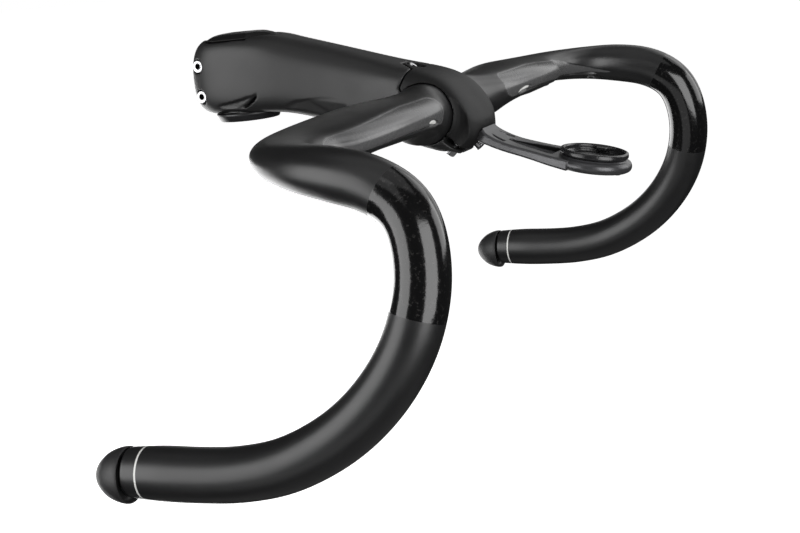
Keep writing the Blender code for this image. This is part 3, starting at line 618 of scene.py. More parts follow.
def bar_relief(run, girth, angles):
    """Depth in mm below the plain surface, panel distance and painted-highlight mask round one ring."""
    panel, low = panel_distance(run, girth, angles)
    depth = 0.24 * ease(0.45, -0.45, panel)
    # Groove along the panel's lower edge, and the thin rib under the strip below it
    under = low - girth
    reach = ease(62, 80, run) * (1 - ease(216, 232, run))
    depth = depth + 1.5 * reach * np.exp(-((under - 0.6) / 0.72) ** 2)
    rib = ease(74, 92, run) * (1 - ease(150, 170, run))
    depth = depth - 0.7 * rib * np.exp(-((under - 6.2) / 0.6) ** 2)
    # Cable port below the panel's inner end, with a pale painted highlight in it that stands for light
    # showing through the port
    middle = np.interp(INNER_PORT_ANGLE, angles, girth)
    port = oval(run, girth, INNER_PORT_RUN, middle, INNER_PORT_SIZE, INNER_PORT_SLOPE)
    depth = depth + 1.0 * (1 - ease(0.78, 1.0, port))
    glint_spot = oval(run, girth, 72.0, middle, (7.0, 1.7), INNER_PORT_SLOPE)
    painted_glint = 1 - ease(0.85, 1.0, glint_spot)
    # Cable port on the inner underside by the hood, with a raised lip
    port = oval(run, girth, HOOD_PORT_RUN, np.interp(HOOD_PORT_ANGLE, angles, girth), HOOD_PORT_SIZE)
    depth = depth + 1.6 * (1 - ease(0.7, 1.0, port))
    depth = depth - 0.15 * np.exp(-((port - 1.2) / 0.14) ** 2)
    return depth, panel, painted_glint


def front_weighted_angles():
    """Angles round the section, closer together on the front, from -180 to 180 degrees."""
    fine = np.linspace(-pi, pi, 2001)
    weight = 1 + 1.5 * np.exp(-((np.degrees(fine) - 5) / 52) ** 2)
    total = np.concatenate([[0.0], np.cumsum((weight[1:] + weight[:-1]) / 2)])
    return np.interp(np.arange(RING_POINTS) / RING_POINTS * total[-1], total, fine)


def section(row, angles, inset=0.0):
    """Points round one section in mm, their outward directions, and their flat coordinates."""
    centre, along, across = row[1:4], row[4:7], row[7:10]
    chord, thick, flat = row[10] - inset, row[11] - inset, row[12]
    c, s = np.cos(angles), np.sin(angles)
    power = np.where(c > 0, 2 + 0.6 * flat, 2.0)
    reach = (np.abs(c) ** power + np.abs(s) ** power) ** (-1 / power)
    u, v = chord * reach * c, thick * reach * s
    points = centre + np.outer(u, along) + np.outer(v, across)
    out_u, out_v = c / chord, s / thick
    size = np.hypot(out_u, out_v)
    outward = np.outer(out_u / size, along) + np.outer(out_v / size, across)
    return points, outward, u, v


def handlebar():
    """Hollow bar: outer and inner rings of the left half and their mirror image, as one skin."""
    rows = bar_frames()
    total = rows[-1, 0]
    stops = np.concatenate([np.arange(0, 40, 3.0), np.arange(40, 242, 0.85),
                            np.arange(242, total - 0.9, 2.1), [total - 0.7, total - 0.35, total]])
    angles = front_weighted_angles()

    def row_at(run):
        return np.array([np.interp(run, rows[:, 0], rows[:, k]) for k in range(13)])

    plain = np.zeros(RING_POINTS)
    outer, runs, panels, painted_glints = [], [], [], []
    for run in stops:
        edge = max(0.0, 0.7 - (total - run)) ** 2 * 0.8
        points, outward, u, v = section(row_at(run), angles, edge)
        lengths = np.hypot(np.diff(u, append=u[0]), np.diff(v, append=v[0]))
        girth = np.concatenate([[0.0], np.cumsum(lengths)[:-1]])
        girth = girth - np.interp(0.0, angles, girth)
        depth, panel, painted_glint = plain, plain + OUTSIDE_PANEL, plain
        if 45 < run < 240:
            depth, panel, painted_glint = bar_relief(run, girth, angles)
        outer.append(points - outward * depth[:, None])
        runs.append(np.full(RING_POINTS, run))
        panels.append(panel)
        painted_glints.append(painted_glint)
    inner = []
    for run in [total, *np.linspace(total - 2, 0, 34)]:
        lip = 0.3 if run == total else 0.0
        inner.append(section(row_at(run), angles, BAR_WALL - lip)[0])
    flip = np.array([1, -1, 1])
    rings = ([ring * flip for ring in outer[:0:-1]] + outer + inner
             + [ring * flip for ring in inner[-2::-1]])
    offset = np.array(CLAMP)
    mesh = ring_mesh([ring * MM + offset for ring in rings], wrap=True)
    inside_count = RING_POINTS * (2 * len(inner) - 1)
    # One of these marks places the pale painted highlight in each inner cable port
    for name, values, inside in (("run", runs, INSIDE_TUBE), ("panel", panels, OUTSIDE_PANEL),
                                 ("painted_glint", painted_glints, 0.0)):
        mark(mesh, name, np.concatenate([*values[:0:-1], *values, np.full(inside_count, inside)]))
    piece("bar_shell", mesh, "handlebar", BAR_CARBON, 50, "handlebar")


def end_plug(side, label):
    """Rubber mushroom plug with a hollow under its cap."""
    spigot = TAIL_END_RADIUS - BAR_WALL - 0.35
    profile = [
        # distance behind the tube's end, radius, drop below the tube's axis
        (-19, spigot - 1.2, 0), (-18.6, spigot - 0.7, 0), (-17, spigot, 0),
        (-12, spigot, 0), (-11.6, spigot - 0.5, 0), (-10.4, spigot - 0.5, 0),
        (-10, spigot, 0), (-6, spigot, 0), (-5.6, spigot - 0.5, 0),
        (-4.4, spigot - 0.5, 0), (-4, spigot, 0), (1.6, spigot - 0.6, 0),
        (3.2, spigot - 0.6, 0.1), (3.4, spigot - 0.2, 0.5), (3.3, 10.4, 1), (2.6, 11.3, 1.3),
        (1.1, 11.9, 1.3), (0.85, 12.25, 1.3), (1.1, 12.5, 1.3), (2.6, 12.52, 1.3),
        (4.6, 12.15, 1.3), (6.6, 11.55, 1.3), (8.6, 10.75, 1.3), (10.6, 9.62, 1.3),
        (12.4, 8.2, 1.3), (14, 6.7, 1.3), (15.2, 5.2, 1.3), (16, 3.9, 1.3),
        (16.35, 2.9, 1.3), (16.45, 1.6, 1.3), (16.45, 0.4, 1.3),
    ]
    rim = [2 * pi * i / 96 for i in range(96)]
    rings = []
    for distance, radius, drop in spline(profile, 3):
        place = Vector((TAIL_END_X - distance, side * DROP_HALF_SPACING, TAIL_END_Z - drop))
        centre = CLAMP + place * MM
        rings.append([centre + (Y * cos(angle) + Z * sin(angle)) * radius * MM
                      for angle in rim])
    mesh = ring_mesh(rings)
    piece("plug_shell_" + label, mesh, "end_plug_" + label, RUBBER, 60, "plug_" + label)


# ---- stem and clamp

STEM_ROWS = [
    # x, top, bottom, half-width, corner exponent, in mm
    (-29, 28, 14, 2.4, 2),
    (-28.3, 33.4, 10.6, 6.6, 2.2),
    (-25.8, 40.2, 7.6, 11.2, 2.5),
    (-21.4, 44.5, 5.4, 14.8, 3),
    (-14, 46.7, 4.2, 18, 3.9),
    (0, 46.9, 3.8, 20.4, 4.6),
    (14, 46.2, 3.6, 21.2, 4.5),
    (24, 44.9, 3, 21.3, 4.1),
    (34, 42.1, 1.2, 21, 3.6),
    (46, 38.8, -2, 20.6, 3.3),
    (60, 34.7, -6, 20.4, 3.3),
    (75, 30.1, -10.5, 20.8, 3.4),
    (88, 26, -14.5, 21.8, 3.7),
    (98, 23, -17.7, 23.2, 4.2),
    (106, 20.8, -20.3, 23.9, 4.6),
    (113, 18.6, -22.6, 24, 4.8),
    (119, 16.2, -24.2, 24, 4.8),
    (125, 12.6, -24.8, 24, 4.6),
    (130, 7.8, -24.2, 23.8, 4.2),
    (134, 2.2, -22, 22.6, 3.8),
    (137, -3.6, -18.8, 19, 3.2),
    (138.8, -8.4, -13.4, 9, 2.4),
    (139.1, -10.2, -11.8, 2, 2),
]


def stem_envelope(x_from, x_to):
    """Outer form of stem and faceplate together, between two places along X in mm."""
    sides = 168
    angle = 2 * pi * (np.arange(sides) + 0.5) / sides
    c, s = np.cos(angle), np.sin(angle)
    rows = spline(STEM_ROWS, 5)
    rows[:, 1:] = relaxed(rows, 3)[:, 1:]
    rings = []
    for x, top, bottom, half_width, power in rows:
        if not x_from <= x <= x_to:
            continue
        reach = (np.abs(c) ** power + np.abs(s) ** power) ** (-1 / power)
        y = half_width * reach * c
        z = (top + bottom) / 2 + (top - bottom) / 2 * reach * s
        rings.append([Vector((x, a, b)) * MM for a, b in zip(y, z)])
    return ring_mesh(rings)


def faceplate_zone(grow):
    """The space in front of the clamp's split, with the tongue's; grow widens it."""
    lip, corner = [Vector(point) for point in mm((-11.6, 14.4), (-8, 21.6))]
    lift = (corner - lip).normalized()
    back = grow / sin(SPLIT_TILT)
    front_low = SPLIT_UP * (-60 * MM) - SPLIT_NORMAL * grow
    outline = [
        (front_low.x, front_low.z), (80 * MM, front_low.z), (80 * MM, 50 * MM),
        (lip.x - back + lift.x * 40 * MM, 50 * MM),
        (lip.x - back + lift.x * 40 * MM, lip.y + lift.y * 40 * MM),
        (lip.x - back, lip.y), (-9 * MM - back, 9.66 * MM),
    ]
    main = prism(outline, CLAMP, X, Z, -40 * MM, 40 * MM)
    slope = cos(SPLIT_TILT) / sin(SPLIT_TILT)
    plan = [(6 * MM, -26 * MM - grow), (6 * MM, 26 * MM + grow),
            (-TONGUE_REAR - grow, 4 * MM + grow), (-TONGUE_REAR - grow, -4 * MM - grow)]
    low = [CLAMP + Vector((x, y, -slope * x - back)) for x, y in plan]
    high = [CLAMP + Vector((x, y, 50 * MM)) for x, y in plan]
    return combine(main, joins(ring_mesh([low, high])))


def clamp_point(along_split, out, y=0.0):
    """A point given along the split plane and out of it, from the bar axis."""
    return CLAMP + SPLIT_UP * along_split + SPLIT_NORMAL * out + Y * y


def clamp_bolts():
    """Name, head face and outward axis of the three faceplate bolts."""
    bolts = [("faceplate_bolt_top", clamp_point(UPPER_BOLT_OFFSET, 8 * MM), SPLIT_NORMAL)]
    for label, y in (("right", -LOWER_BOLT_Y), ("left", LOWER_BOLT_Y)):
        face = clamp_point(-LOWER_BOLT_OFFSET, -9.2 * MM, y)
        bolts.append(("faceplate_bolt_lower_" + label, face, -SPLIT_NORMAL))
    return bolts


def clamp_bolt_cuts(spare, upward):
    """Holes for the shanks of those bolts, and pockets for the heads that face up or down."""
    steps = []
    for _, face, axis in clamp_bolts():
        steps += cuts(rod(face, -axis, HEAD_HEIGHT + CLAMP_SHANK + spare, SHANK_HOLE))
        if (axis.z > 0) == upward:
            steps += cuts(rod(face - axis * HEAD_HEIGHT, axis, OVERCUT, HEAD_POCKET))
    return steps


def insert_cut(mouth, inward, length, radius):
    """Pocket for a threaded insert, from 4 mm outside its mouth."""
    return cuts(rod(mouth - inward * 4 * MM, inward, length + 4 * MM + GAP, radius + GAP))


def pinch_bolts():
    """Name, head face and outward axis of the two steerer pinch bolts."""
    outward = Vector((-sin(PINCH_TILT), -cos(PINCH_TILT), 0))
    return [(name, Vector((*PINCH_FACE, height)), outward) for name, height in PINCH_HEIGHTS]


def lower_bosses():
    """Round bosses that hold the lower bolts' inserts."""
    starts = [clamp_point(-LOWER_BOLT_OFFSET, -5 * MM, side * LOWER_BOLT_Y) for side in SIDES]
    return joins(*[rod(start, SPLIT_NORMAL, 9 * MM, 5.4 * MM) for start in starts])


def bar_bore():
    """Cutter for the bar's bore in the clamp."""
    length = 2 * CLAMP_HALF_WIDTH + OVERCUT
    radius = CLAMP_ROUND * MM + 0.35 * MM
    return rod(CLAMP - Y * (length / 2), Y, length, radius, 160)


def cap_outline(inset):
    """Shield shape of the top cap: round behind, blunt point in front."""
    arc_steps = 48
    half = CAP_HALF_WIDTH - inset
    round_depth = CAP_ROUND_DEPTH - inset
    round_centre = -5.6 * MM
    shoulder = 11 * MM - max(0.0, inset - 6 * MM)
    point_half = 3.5 * MM
    point = CAP_POINT_X - inset * 1.4
    points = [(point, -point_half), (point, point_half), (shoulder, half)]
    for k in range(arc_steps + 1):
        angle = pi / 2 + pi * k / arc_steps
        points.append((round_centre + round_depth * cos(angle), half * sin(angle)))
    points.append((shoulder, -half))
    return points


def side_cutter(side, points):
    """Cutter from outside the stem in to a floor; points are x, z and the floor's y in mm."""
    outside = [Vector((x, side * 27, z)) * MM for x, z, _ in points]
    deep = [Vector((x, side * y, z)) * MM for x, z, y in points]
    return ring_mesh([outside, deep])


# Scoop low on the stem's side: its floor leans in to a curved wall below and ahead
SCOOP = [
    (-10, 9.8, 16.5), (-4, 10.7, 17.4), (2, 11.6, 18.2), (8, 12.8, 18.9), (14, 14.3, 20),
    (17, 15.2, 20.9), (15.4, 13.4, 20), (13.2, 11.7, 19.2), (10.6, 10, 18.7), (8, 8.7, 18.4),
    (5, 7.9, 18.1), (2, 7.5, 17.8), (-2, 7.4, 17.3), (-5.5, 7.8, 16.9), (-8.4, 8.6, 16.4),
]
# Shallow facet low on the stem's side, ahead of the scoop
FACET = [
    (29.6, 5.6, 18), (32.6, 7.4, 18.6), (36, 8.7, 19), (40, 9.5, 19.4), (46, 10, 19.9),
    (53, 10.1, 19.9), (60, 9.4, 20.2), (68, 6, 20.5), (72, -3, 18.6),
    (66, -9, 14.6), (50, -8, 14), (34, -4, 14.4), (28.5, 1.5, 15.6),
]


def scoop_groove(side):
    """Cutter for the narrow deep groove along the scoop's front and lower edge."""
    line = [(17.2, 15.2), (15.6, 13.2), (13.4, 11.4), (10.8, 9.6), (8, 8.2), (4.6, 7.5), (0.6, 7.2)]
    width = [0.3, 1, 1.5, 1.6, 1.3, 0.9, 0.3]
    upper, lower = [], []
    for k, (x, z) in enumerate(line):
        before, after = Vector(line[max(k - 1, 0)]), Vector(line[min(k + 1, len(line) - 1)])
        along = (after - before).normalized()
        upper.append((x + along.y * width[k] / 2, z - along.x * width[k] / 2))
        lower.append((x - along.y * width[k] / 2, z + along.x * width[k] / 2))
    outline = upper + lower[::-1]
    return ring_mesh([[Vector((x, side * y, z)) * MM for x, z in outline] for y in (27, 14.8)])


def stem_shell():
    """Stem body: clamps the steerer behind and holds the rear half of the bar's clamp."""
    seat_depth = OVERCUT + SPACER_HEIGHT + GAP
    steps = lower_bosses() + cuts(
        faceplate_zone(SEAM),
        bar_bore(),
        rod(Z * -OVERCUT, Z, 90 * MM, STEERER_BORE, 120),
        rod(Z * -OVERCUT, Z, seat_depth, SPACER_RADIUS + 1 * MM, 120),
        prism(cap_outline(-0.4 * MM), Z * CAP_SEAT, X, Y, 0.0, OVERCUT),
        prism(rectangle(-40, -10, -13, 60), ORIGIN, X, Z, -SLIT_HALF_WIDTH, SLIT_HALF_WIDTH),
        prism(rectangle(-60, -3.2, -17, 2), CLAMP, SPLIT_UP, SPLIT_NORMAL,
              -40 * MM, 40 * MM),
        prism(rectangle(-60, -30, -19.8, 30), CLAMP, SPLIT_UP, SPLIT_NORMAL,
              -MOUNT_NOTCH_HALF, MOUNT_NOTCH_HALF),
    )
    steps += clamp_bolt_cuts(1 * MM, upward=False)
    mouth = clamp_point(UPPER_BOLT_OFFSET, -1.2 * MM)
    steps += insert_cut(mouth, -SPLIT_NORMAL, INSERT_LENGTH, INSERT_RADIUS)
    for _, face, axis in pinch_bolts():
        nut = face - axis * (PINCH_NUT_DEPTH - GAP)
        steps += cuts(rod(face, -axis, 30 * MM, SHANK_HOLE),
                      rod(face - axis * HEAD_HEIGHT, axis, 12 * MM, HEAD_RADIUS + 0.45 * MM),
                      rod(nut, -axis, 30 * MM, PINCH_NUT_RADIUS + 0.4 * MM))
    for side in SIDES:
        steps += cuts(side_cutter(side, SCOOP), scoop_groove(side),
                      side_cutter(side, FACET))
    mesh = softened(combine(stem_envelope(-40, 134), steps), 0.58 * MM, 3)
    piece("stem_shell", mesh, "stem_body", STEM_CARBON)


def faceplate_shell():
    """Front half of the bar's clamp, with its tongue over the top of the bar."""
    screw_face, screw_axis = mount_screw_place()
    steps = lower_bosses() + [("INTERSECT", faceplate_zone(0.0))] + cuts(
        bar_bore(),
        sector(MOUNT_SADDLE, 45 * MM, 26, 72, MOUNT_NOTCH_HALF),
        rod(screw_face, -screw_axis, 30 * MM, SHANK_HOLE),
    )
    steps += clamp_bolt_cuts(0.5 * MM, upward=True)
    for side in SIDES:
        mouth = clamp_point(-LOWER_BOLT_OFFSET, 0.6 * MM, side * LOWER_BOLT_Y)
        steps += insert_cut(mouth, SPLIT_NORMAL, LOWER_INSERT_LENGTH, LOWER_INSERT_RADIUS)
    # Hollow ring outside the thin lip that holds the bar, deepest in front
    for side in SIDES:
        tilt = Vector((0.09, side, -0.02)).normalized()
        centre = CLAMP + Vector((0.5 * MM, side * 32.8 * MM, -0.3 * MM))
        steps += cuts(torus(centre, tilt, 22.6 * MM, 10.5 * MM))
    mesh = softened(combine(stem_envelope(80, 140), steps), 0.45 * MM, 3)
    piece("faceplate_shell", mesh, "faceplate", FACEPLATE_CARBON)


def socket_screw(name, head_face, axis, length, node):
    """Socket-head screw with a chamfered rim, a hexagonal socket and a plain shank."""
    sides = 60
    back = -HEAD_HEIGHT
    shank = SHANK_RADIUS - 0.05 * MM
    body = [
        (0.3 * MM, back - length), (SHANK_RADIUS - 0.5 * MM, back - length),
        (shank, back - length + 0.5 * MM), (shank, back - 0.3 * MM), (SHANK_RADIUS + 0.2 * MM, back),
        (HEAD_RADIUS - 0.15 * MM, back), (HEAD_RADIUS, back + 0.15 * MM),
        *around(HEAD_RADIUS, (0, -0.5), (-0.12, -0.2), (-0.42, 0)),
        *around(HEX_RADIUS, (0.30, 0), (0.16, -0.04)),
    ]
    socket = around(HEX_RADIUS, (0, -0.16), (0, -2.3))
    socket += [(HEX_RADIUS * 0.9, -2.4 * MM), (0.2 * MM, -2.9 * MM)]
    hexed = [0] * (len(body) - 1) + [0.6, 1, 1, 0.6, 0]
    mesh = turned(body + socket, head_face, axis, sides, hexed=hexed)
    # The socket's points are marked so that its finish paints shade in the socket
    mark(mesh, "recess_shade", np.repeat([0.0] * len(body) + [1.0] * len(socket), sides))
    piece(name, mesh, node, STEEL, 32)


def fasteners():
    """Bright bolts of the two clamps."""
    for node, face, axis in clamp_bolts():
        socket_screw(node.replace("faceplate_bolt", "clamp_screw"), face, axis, CLAMP_SHANK, node)
    for name, face, axis in pinch_bolts():
        socket_screw("pinch_screw_" + name, face, axis, PINCH_SHANK, "pinch_bolt_" + name)


def cap_shell():
    """Shield-shaped cap with a thin rim, a low crown and a counterbored bolt hole."""
    base = CAP_SEAT + GAP
    top = base + CAP_THICKNESS
    # How far in from the cap's outline, and how high over its base, in mm
    levels = mm((1.5, -0.25), (1.5, 0.15), (0.3, 0.4), (0, 0.6), (0, 0.9), (0.2, 1.15), (0.5, 1.2),
                (0.8, 1.05), (1.1, 1.12), (2, 1.7), (3.4, 2.4), (5, 2.95), (7, 3.4), (9, 3.65),
                (10.8, 3.8))
    rings = [[Vector((x, y, base + height)) for x, y in cap_outline(inset)] for inset, height in levels]
    spigot = rod(Z * (CAP_SEAT - 4 * MM), Z, 4.6 * MM, STEERER_BORE - 0.6 * MM, 96)
    steps = joins(spigot) + cuts(
        rod(Z * (CAP_SEAT - 5 * MM), Z, OVERCUT, 3.4 * MM),
        rod(Z * (top - CAP_BOLT_SINK - 2.6 * MM), Z, OVERCUT, 6 * MM, 64),
    )
    mesh = softened(combine(ring_mesh(rings), steps), 0.26 * MM, 2)
    piece("cap_shell", mesh, "top_cap", CAP_CARBON)
    profile = mm((0.3, -24), (2.6, -24), (3, -23.5), (3, -1.9), (5.5, -1.9), (5.6, -1.8),
                 (5.6, -1.2), (5.3, -0.8), (4.7, -0.35), (3.9, -0.08), (3, 0), (2.3, 0),
                 (2, -0.25), (2, -1.6), (0.3, -1.9))
    mesh = turned(profile, Z * (top - CAP_BOLT_SINK), Z, 72)
    piece("cap_screw", mesh, "top_cap_bolt", DARK_STEEL, 32)


def spacer_ring():
    """Chamfered ring between the stem and the headset."""
    profile = [
        (STEERER_BORE, 0.0),
        (SPACER_FOOT_RADIUS, 0.0),
        (SPACER_RADIUS, SPACER_HEIGHT - 1 * MM),
        (SPACER_RADIUS, SPACER_HEIGHT),
        (STEERER_BORE, SPACER_HEIGHT),
    ]
    mesh = turned(rounded(profile, 0.35 * MM, 3, closed=True), ORIGIN, Z, 144, wrap=True)
    piece("spacer_ring", mesh, "lower_spacer", SPACER_BLACK, 60)


# ---- computer mount

def mount_screw_place():
    """Head face and outward axis of the screw that holds the mount to the faceplate."""
    return clamp_point(-30.6 * MM, 2 * MM), -SPLIT_UP


def sector(inner, outer, start, end, half_width):
    """Part of a ring round the bar axis, between two angles below +X, in degrees."""
    outline = []
    for radius, angles in ((inner, (start, end)), (outer, (end, start))):
        for k in range(25):
            angle = radians(angles[0] + (angles[1] - angles[0]) * k / 24)
            outline.append((radius * cos(angle), -radius * sin(angle)))
    return prism(outline, CLAMP, X, Z, -half_width, half_width)


def receiver_screws():
    """Name and underside point of the two small screws that hold the receiver."""
    base = SEAT_ORIGIN - SEAT_AXIS * RING_HEIGHT
    return [(name, base + SEAT_FORWARD * (side * SMALL_SCREW_OFFSET))
            for name, side in (("rear", -1), ("front", 1))]


ARM_ROWS = [
    # x and z of the upper face's middle, half-width, thickness, in mm from the bar axis
    (27, -10.8, 10.4, 7.4),
    (28.6, -12.9, 11.6, 6.3),
    (31, -14.7, 12.1, 5.4),
    (35.5, -17.2, 12.4, 4.9),
    (41, -19.6, 12.8, 4.6),
    (48, -21.9, 13.4, 4.6),
    (56, -24.3, 14.6, 4.9),
    (64, -26.6, 16.4, 5.3),
    (74, -29.2, 18.4, 5.7),
]


def slot_undercut(slot):
    """Wider copy of the slot under the arm's upper face, so its walls lean away below."""
    middle = Vector((52 * MM, 0.0))
    rings = []
    for grow, drop in ((1.0, 1.6), (1.22, 4.6), (1.3, 12.0)):
        ring = []
        for x, y in slot:
            long = middle.x + (x - middle.x) * (1 + (grow - 1) * 0.35)
            top = -10.8 * MM - (x - 27 * MM) * 0.42
            ring.append(CLAMP + Vector((long, y * grow, top - drop * MM)))
        rings.append(ring)
    return ring_mesh(rings)


def arm_blank():
    """The arm before it is joined and cut: a bar with chamfered edges along ARM_ROWS."""
    rows = spline(ARM_ROWS, 6)
    chamfer = 0.8
    rings = []
    for k, (x, z, half, thick) in enumerate(rows):
        before, after = rows[max(k - 1, 0)], rows[min(k + 1, len(rows) - 1)]
        along = Vector((after[0] - before[0], 0, after[1] - before[1])).normalized() if k else X
        normal = Vector((-along.z, 0, along.x))
        profile = [(half - chamfer, 0.0), (half, -chamfer), (half, chamfer - thick), (half - chamfer, -thick)]
        profile += [(-side, height) for side, height in reversed(profile)]
        rings.append([CLAMP + (Vector((x, side, z)) + normal * height) * MM for side, height in profile])
    return ring_mesh(rings)


def arm_slot():
    """Outline of the arm's slot: a round narrow end behind and a wide end by the ring."""
    slot = []
    for k in range(13):
        angle = radians(90 + 15 * k)
        slot.append(((40 + 2 * cos(angle)) * MM, 2 * MM * sin(angle)))
    return slot + mm((50, -6.2), (60.4, -9.7), (62.6, -9.6), (63.5, -8.2),
                     (63.5, 8.2), (62.6, 9.6), (60.4, 9.7), (50, 6.2))


def mount_arm_shell():
    """Arm and ring of the computer mount, and the screw that holds it."""
    ring_base = SEAT_ORIGIN - SEAT_AXIS * RING_HEIGHT
    bulge = around(RING_RADIUS, (-2.2, 0), (-0.6, 0.9), (0, 2.2), (0, 3.6), (-0.7, 5.2), (-2.6, 5.9))
    bulge.append((RING_RADIUS - 3 * MM, RING_HEIGHT))
    neck = mm((21, -12.6), (22, -18.8), (29, -18), (29, -14.6), (24.4, -13.2))
    tongue_half = MOUNT_NOTCH_HALF - GAP
    slot = arm_slot()
    face, axis = mount_screw_place()
    bore_floor = SEAT_ORIGIN - SEAT_AXIS * RING_BORE_DEPTH
    steps = joins(
        turned(rounded(bulge, 0.9 * MM), ring_base, SEAT_AXIS, 120),
        sector(MOUNT_SADDLE + GAP, 27 * MM, 28, 60, tongue_half),
        prism(neck, CLAMP, X, Z, -tongue_half, tongue_half),
    ) + cuts(
        prism(slot, CLAMP, X, Y, -60 * MM, 0),
        slot_undercut(slot),
        rod(bore_floor, SEAT_AXIS, OVERCUT, RING_BORE, 120),
        rod(ring_base - SEAT_AXIS * 5 * MM, SEAT_AXIS, OVERCUT, RING_WINDOW, 120),
        rod(face - axis * 30 * MM, axis, 60 * MM, SHANK_HOLE),
        rod(face - axis * HEAD_HEIGHT, axis, OVERCUT, HEAD_POCKET),
    )
    # Two long pockets in the upper face, beside the slot's narrow end
    for side in SIDES:
        pocket = mm((29.6, side * 5.2), (33, side * 5.6), (38.4, side * 6.6),
                    (37.6, side * 9.6), (33, side * 8.2))
        steps += cuts(prism(pocket, CLAMP, X, Y, -18.6 * MM, 0))
    for _, base in receiver_screws():
        steps += cuts(rod(base - SEAT_AXIS * 5 * MM, SEAT_AXIS, 12 * MM, SMALL_SCREW_HOLE),
                      rod(base - SEAT_AXIS * 8 * MM, SEAT_AXIS, 8 * MM,
                          SMALL_HEAD_RADIUS + 0.5 * MM))
    mesh = softened(combine(arm_blank(), steps), 0.32 * MM, 2)
    # The slot's walls are duller than the outside, and their colour is darker as painted shade inside the
    # slot
    places = np.empty(len(mesh.vertices) * 3)
    mesh.vertices.foreach_get("co", places)
    x, y, z = ((places.reshape(-1, 3) - np.array(CLAMP)) / MM).T
    half = 0.35 + between(x, ((37.9, -1), (38.6, 1.4), (40, 2), (50, 6.2), (60.4, 9.7),
                              (63.5, 8.4), (63.8, -1)))
    surface = between(x, [row[:2] for row in ARM_ROWS])
    mark(mesh, "recess_shade", (np.abs(y) < half * 1.12) & (surface - z > 0.45) & (x > 37.6) & (x < 64))
    piece("mount_arm_shell", mesh, "computer_mount_arm", ANODISED)
    socket_screw("mount_fixing_screw", face, axis, MOUNT_SHANK, "mount_screw")


def receiver_cup():
    """Quarter-turn socket that sits in the arm's ring, and its two screws."""
    profile = [
        (RECEIVER_FOOT_RADIUS, GAP - RING_BORE_DEPTH), (RECEIVER_FOOT_RADIUS + 0.1 * MM, GAP),
        (RECEIVER_RADIUS - 0.6 * MM, GAP),
        *around(RECEIVER_RADIUS, (0, 1), (-0.2, 3), (-1.6, 3.4), (-2.2, 2.6), (-2.4, -0.6)),
        (SEAT_RADIUS + 0.3 * MM, -0.6 * MM), (SEAT_RADIUS, SEAT_HEIGHT), (3 * MM, SEAT_HEIGHT),
        (2.6 * MM, SEAT_HEIGHT - 0.5 * MM),
    ]
    cup = turned(profile, SEAT_ORIGIN, SEAT_AXIS, 128)
    tab = [(15.9, -3.6), (15.9, 3.6), (12.2, 2.8), (11.8, 2.4), (11.8, -2.4), (12.2, -2.8)]
    steps = []
    for side in SIDES:
        outline = mm(*[(side * a, side * b) for a, b in tab])
        steps += joins(prism(outline, SEAT_ORIGIN, Y, -SEAT_FORWARD, 0.9 * MM, 2.5 * MM))
    for _, base in receiver_screws():
        steps += cuts(rod(base, SEAT_AXIS, 4.9 * MM, SMALL_SCREW_HOLE))
    mesh = softened(combine(cup, steps), 0.30 * MM, 2)
    piece("receiver_cup", mesh, "computer_receiver", RECEIVER_PLASTIC)
    profile = mm((0.2, -1), (0.9, -1), (1, -1.75), (1.5, -1.7), (2.2, -1.45))
    profile += [(SMALL_HEAD_RADIUS, -1.1 * MM), (SMALL_HEAD_RADIUS, -GAP),
                (SMALL_SCREW_RADIUS, -GAP), *around(SMALL_SCREW_RADIUS, (0, 4.1), (-0.3, 4.4))]
    for name, base in receiver_screws():
        mesh = turned(profile, base, SEAT_AXIS, 48)
        piece("small_screw_" + name, mesh, "receiver_screw_" + name, STEEL, 32)


# ---- scene

OBJECT_CENTRE = Vector((0.09, 0.0, -0.04))
AMBIENT = 0.03
FLOOR_Z = -0.6
# Name, direction from the object, distance, width and height in metres, and power in watts
SOFT_BOXES = (
    ("left_soft_box", (-0.669, -0.743, 0.155), 1.6, 1.33, 1.35, 24),
    ("right_soft_box", (0.819, -0.574, 0.0625), 1.6, 1.20, 1.36, 26),
    ("top_soft_box", (0.1, -0.1, 1), 1.6, 1.6, 1.6, 4),
    ("back_soft_box", (0.2865, 0.8818, 0.3746), 2.2, 2.1, 1.7, 10),
    ("back_right_soft_box", (0.45, 0.64, 0.62), 2.2, 1.26, 1.1, 5),
    ("back_left_soft_box", (-0.46, 0.87, 0.16), 2.2, 0.5, 0.5, 0.8),
    ("rear_soft_box", (-0.80, 0.50, -0.34), 2, 1.5, 1.3, 24),
    ("front_soft_box", (0.80, 0.56, 0.22), 2, 1.3, 1, 12),
    ("high_fill", (-0.1, -0.75, 0.85), 1.6, 1.2, 0.8, 1.8),
    ("low_fill", (0, -0.88, -0.47), 1.8, 1.6, 0.8, 2.6),
    ("under_fill", (0.1, 0.1, -1), 1.8, 2.4, 2.4, 3),
)


def soft_box(name, direction, distance, width, height, power):
    """Rectangular studio light that faces the object and isn't seen itself."""
    light = bpy.data.lights.new(name, "AREA")
    light.shape = "RECTANGLE"
    light.size = width
    light.size_y = height
    light.energy = power
    obj = placed(name, light)
    obj.location = OBJECT_CENTRE + Vector(direction).normalized() * distance
    obj.rotation_euler = (OBJECT_CENTRE - obj.location).to_track_quat("-Z", "Y").to_euler()
    obj.visible_camera = False


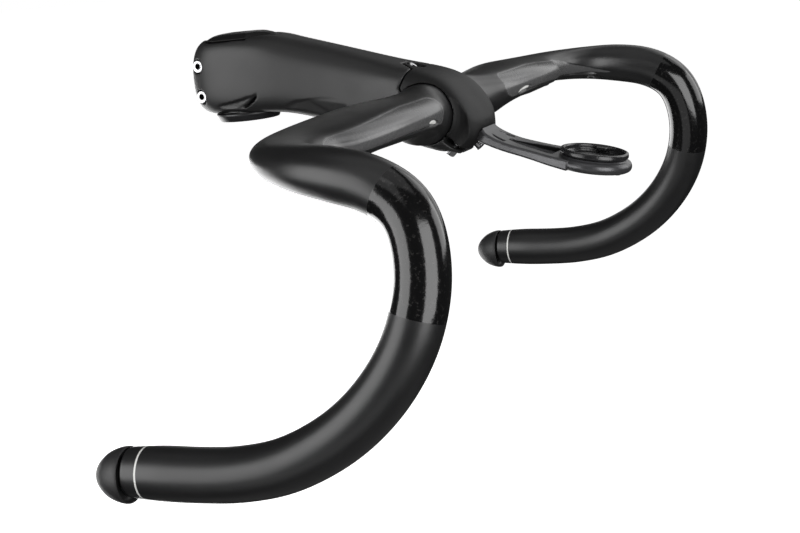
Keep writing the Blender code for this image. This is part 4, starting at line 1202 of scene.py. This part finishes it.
def studio():
    """Soft boxes, and a world that is white to look at but adds little light."""
    for box in SOFT_BOXES:
        soft_box(*box)
    world = bpy.data.worlds.new("studio")
    bpy.context.scene.world = world
    world.use_nodes = True
    tree = world.node_tree
    background = tree.nodes["Background"]
    path = tree.nodes.new("ShaderNodeLightPath")
    shade = tree.nodes.new("ShaderNodeMapRange")
    shade.inputs["To Min"].default_value = AMBIENT
    shade.inputs["To Max"].default_value = 1
    tree.links.new(path.outputs["Is Camera Ray"], shade.inputs["Value"])
    tree.links.new(shade.outputs["Result"], background.inputs["Strength"])
    background.inputs["Color"].default_value = (1, 1, 1, 1)


def floor():
    """Large plain pale floor, well below the part, which hangs from its steerer clamp."""
    mesh = bpy.data.meshes.new("floor")
    reach = 40
    corners = [(-reach, -reach), (reach, -reach), (reach, reach), (-reach, reach)]
    mesh.from_pydata([(x, y, FLOOR_Z) for x, y in corners], [], [(0, 1, 2, 3)])
    f = Finish("pale_floor", 0.9)
    cloud = f.noise(0.6, 2)
    f.link(f.mix(cloud, (0.80, 0.80, 0.80), (0.83, 0.83, 0.83)), "Base Color")
    f.shader.inputs["Emission Color"].default_value = (1, 1, 1, 1)
    f.shader.inputs["Emission Strength"].default_value = 1
    mesh.materials.append(f.material)
    obj = placed("floor", mesh)
    obj.visible_diffuse = False
    obj.visible_glossy = False


def camera():
    """Camera on the rider's right, a little ahead of the clamp and looking slightly down."""
    heading, pitch, roll = 23.33, -10.24, -6.517
    data = bpy.data.cameras.new("camera")
    data.sensor_width = 36.0
    data.lens = 80.418
    data.clip_start = 0.01
    obj = placed("camera", data)
    turn = (Matrix.Rotation(radians(heading), 4, "Z") @ Matrix.Rotation(radians(90 + pitch), 4, "X")
            @ Matrix.Rotation(radians(roll), 4, "Z"))
    obj.matrix_world = Matrix.Translation((0.4609675, -0.8837069, 0.086695)) @ turn
    bpy.context.scene.camera = obj


def main():
    handlebar()
    end_plug(-1, "right")
    end_plug(1, "left")
    stem_shell()
    faceplate_shell()
    fasteners()
    cap_shell()
    spacer_ring()
    mount_arm_shell()
    receiver_cup()
    for node in ("faceplate_insert_top", "faceplate_insert_lower_right", "faceplate_insert_lower_left",
                 "pinch_nut_upper", "pinch_nut_lower"):
        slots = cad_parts[node].data.materials
        slots.clear()
        slots.append(ALLOY)
    studio()
    floor()
    camera()
    bpy.context.scene.view_settings.view_transform = "Standard"


main()
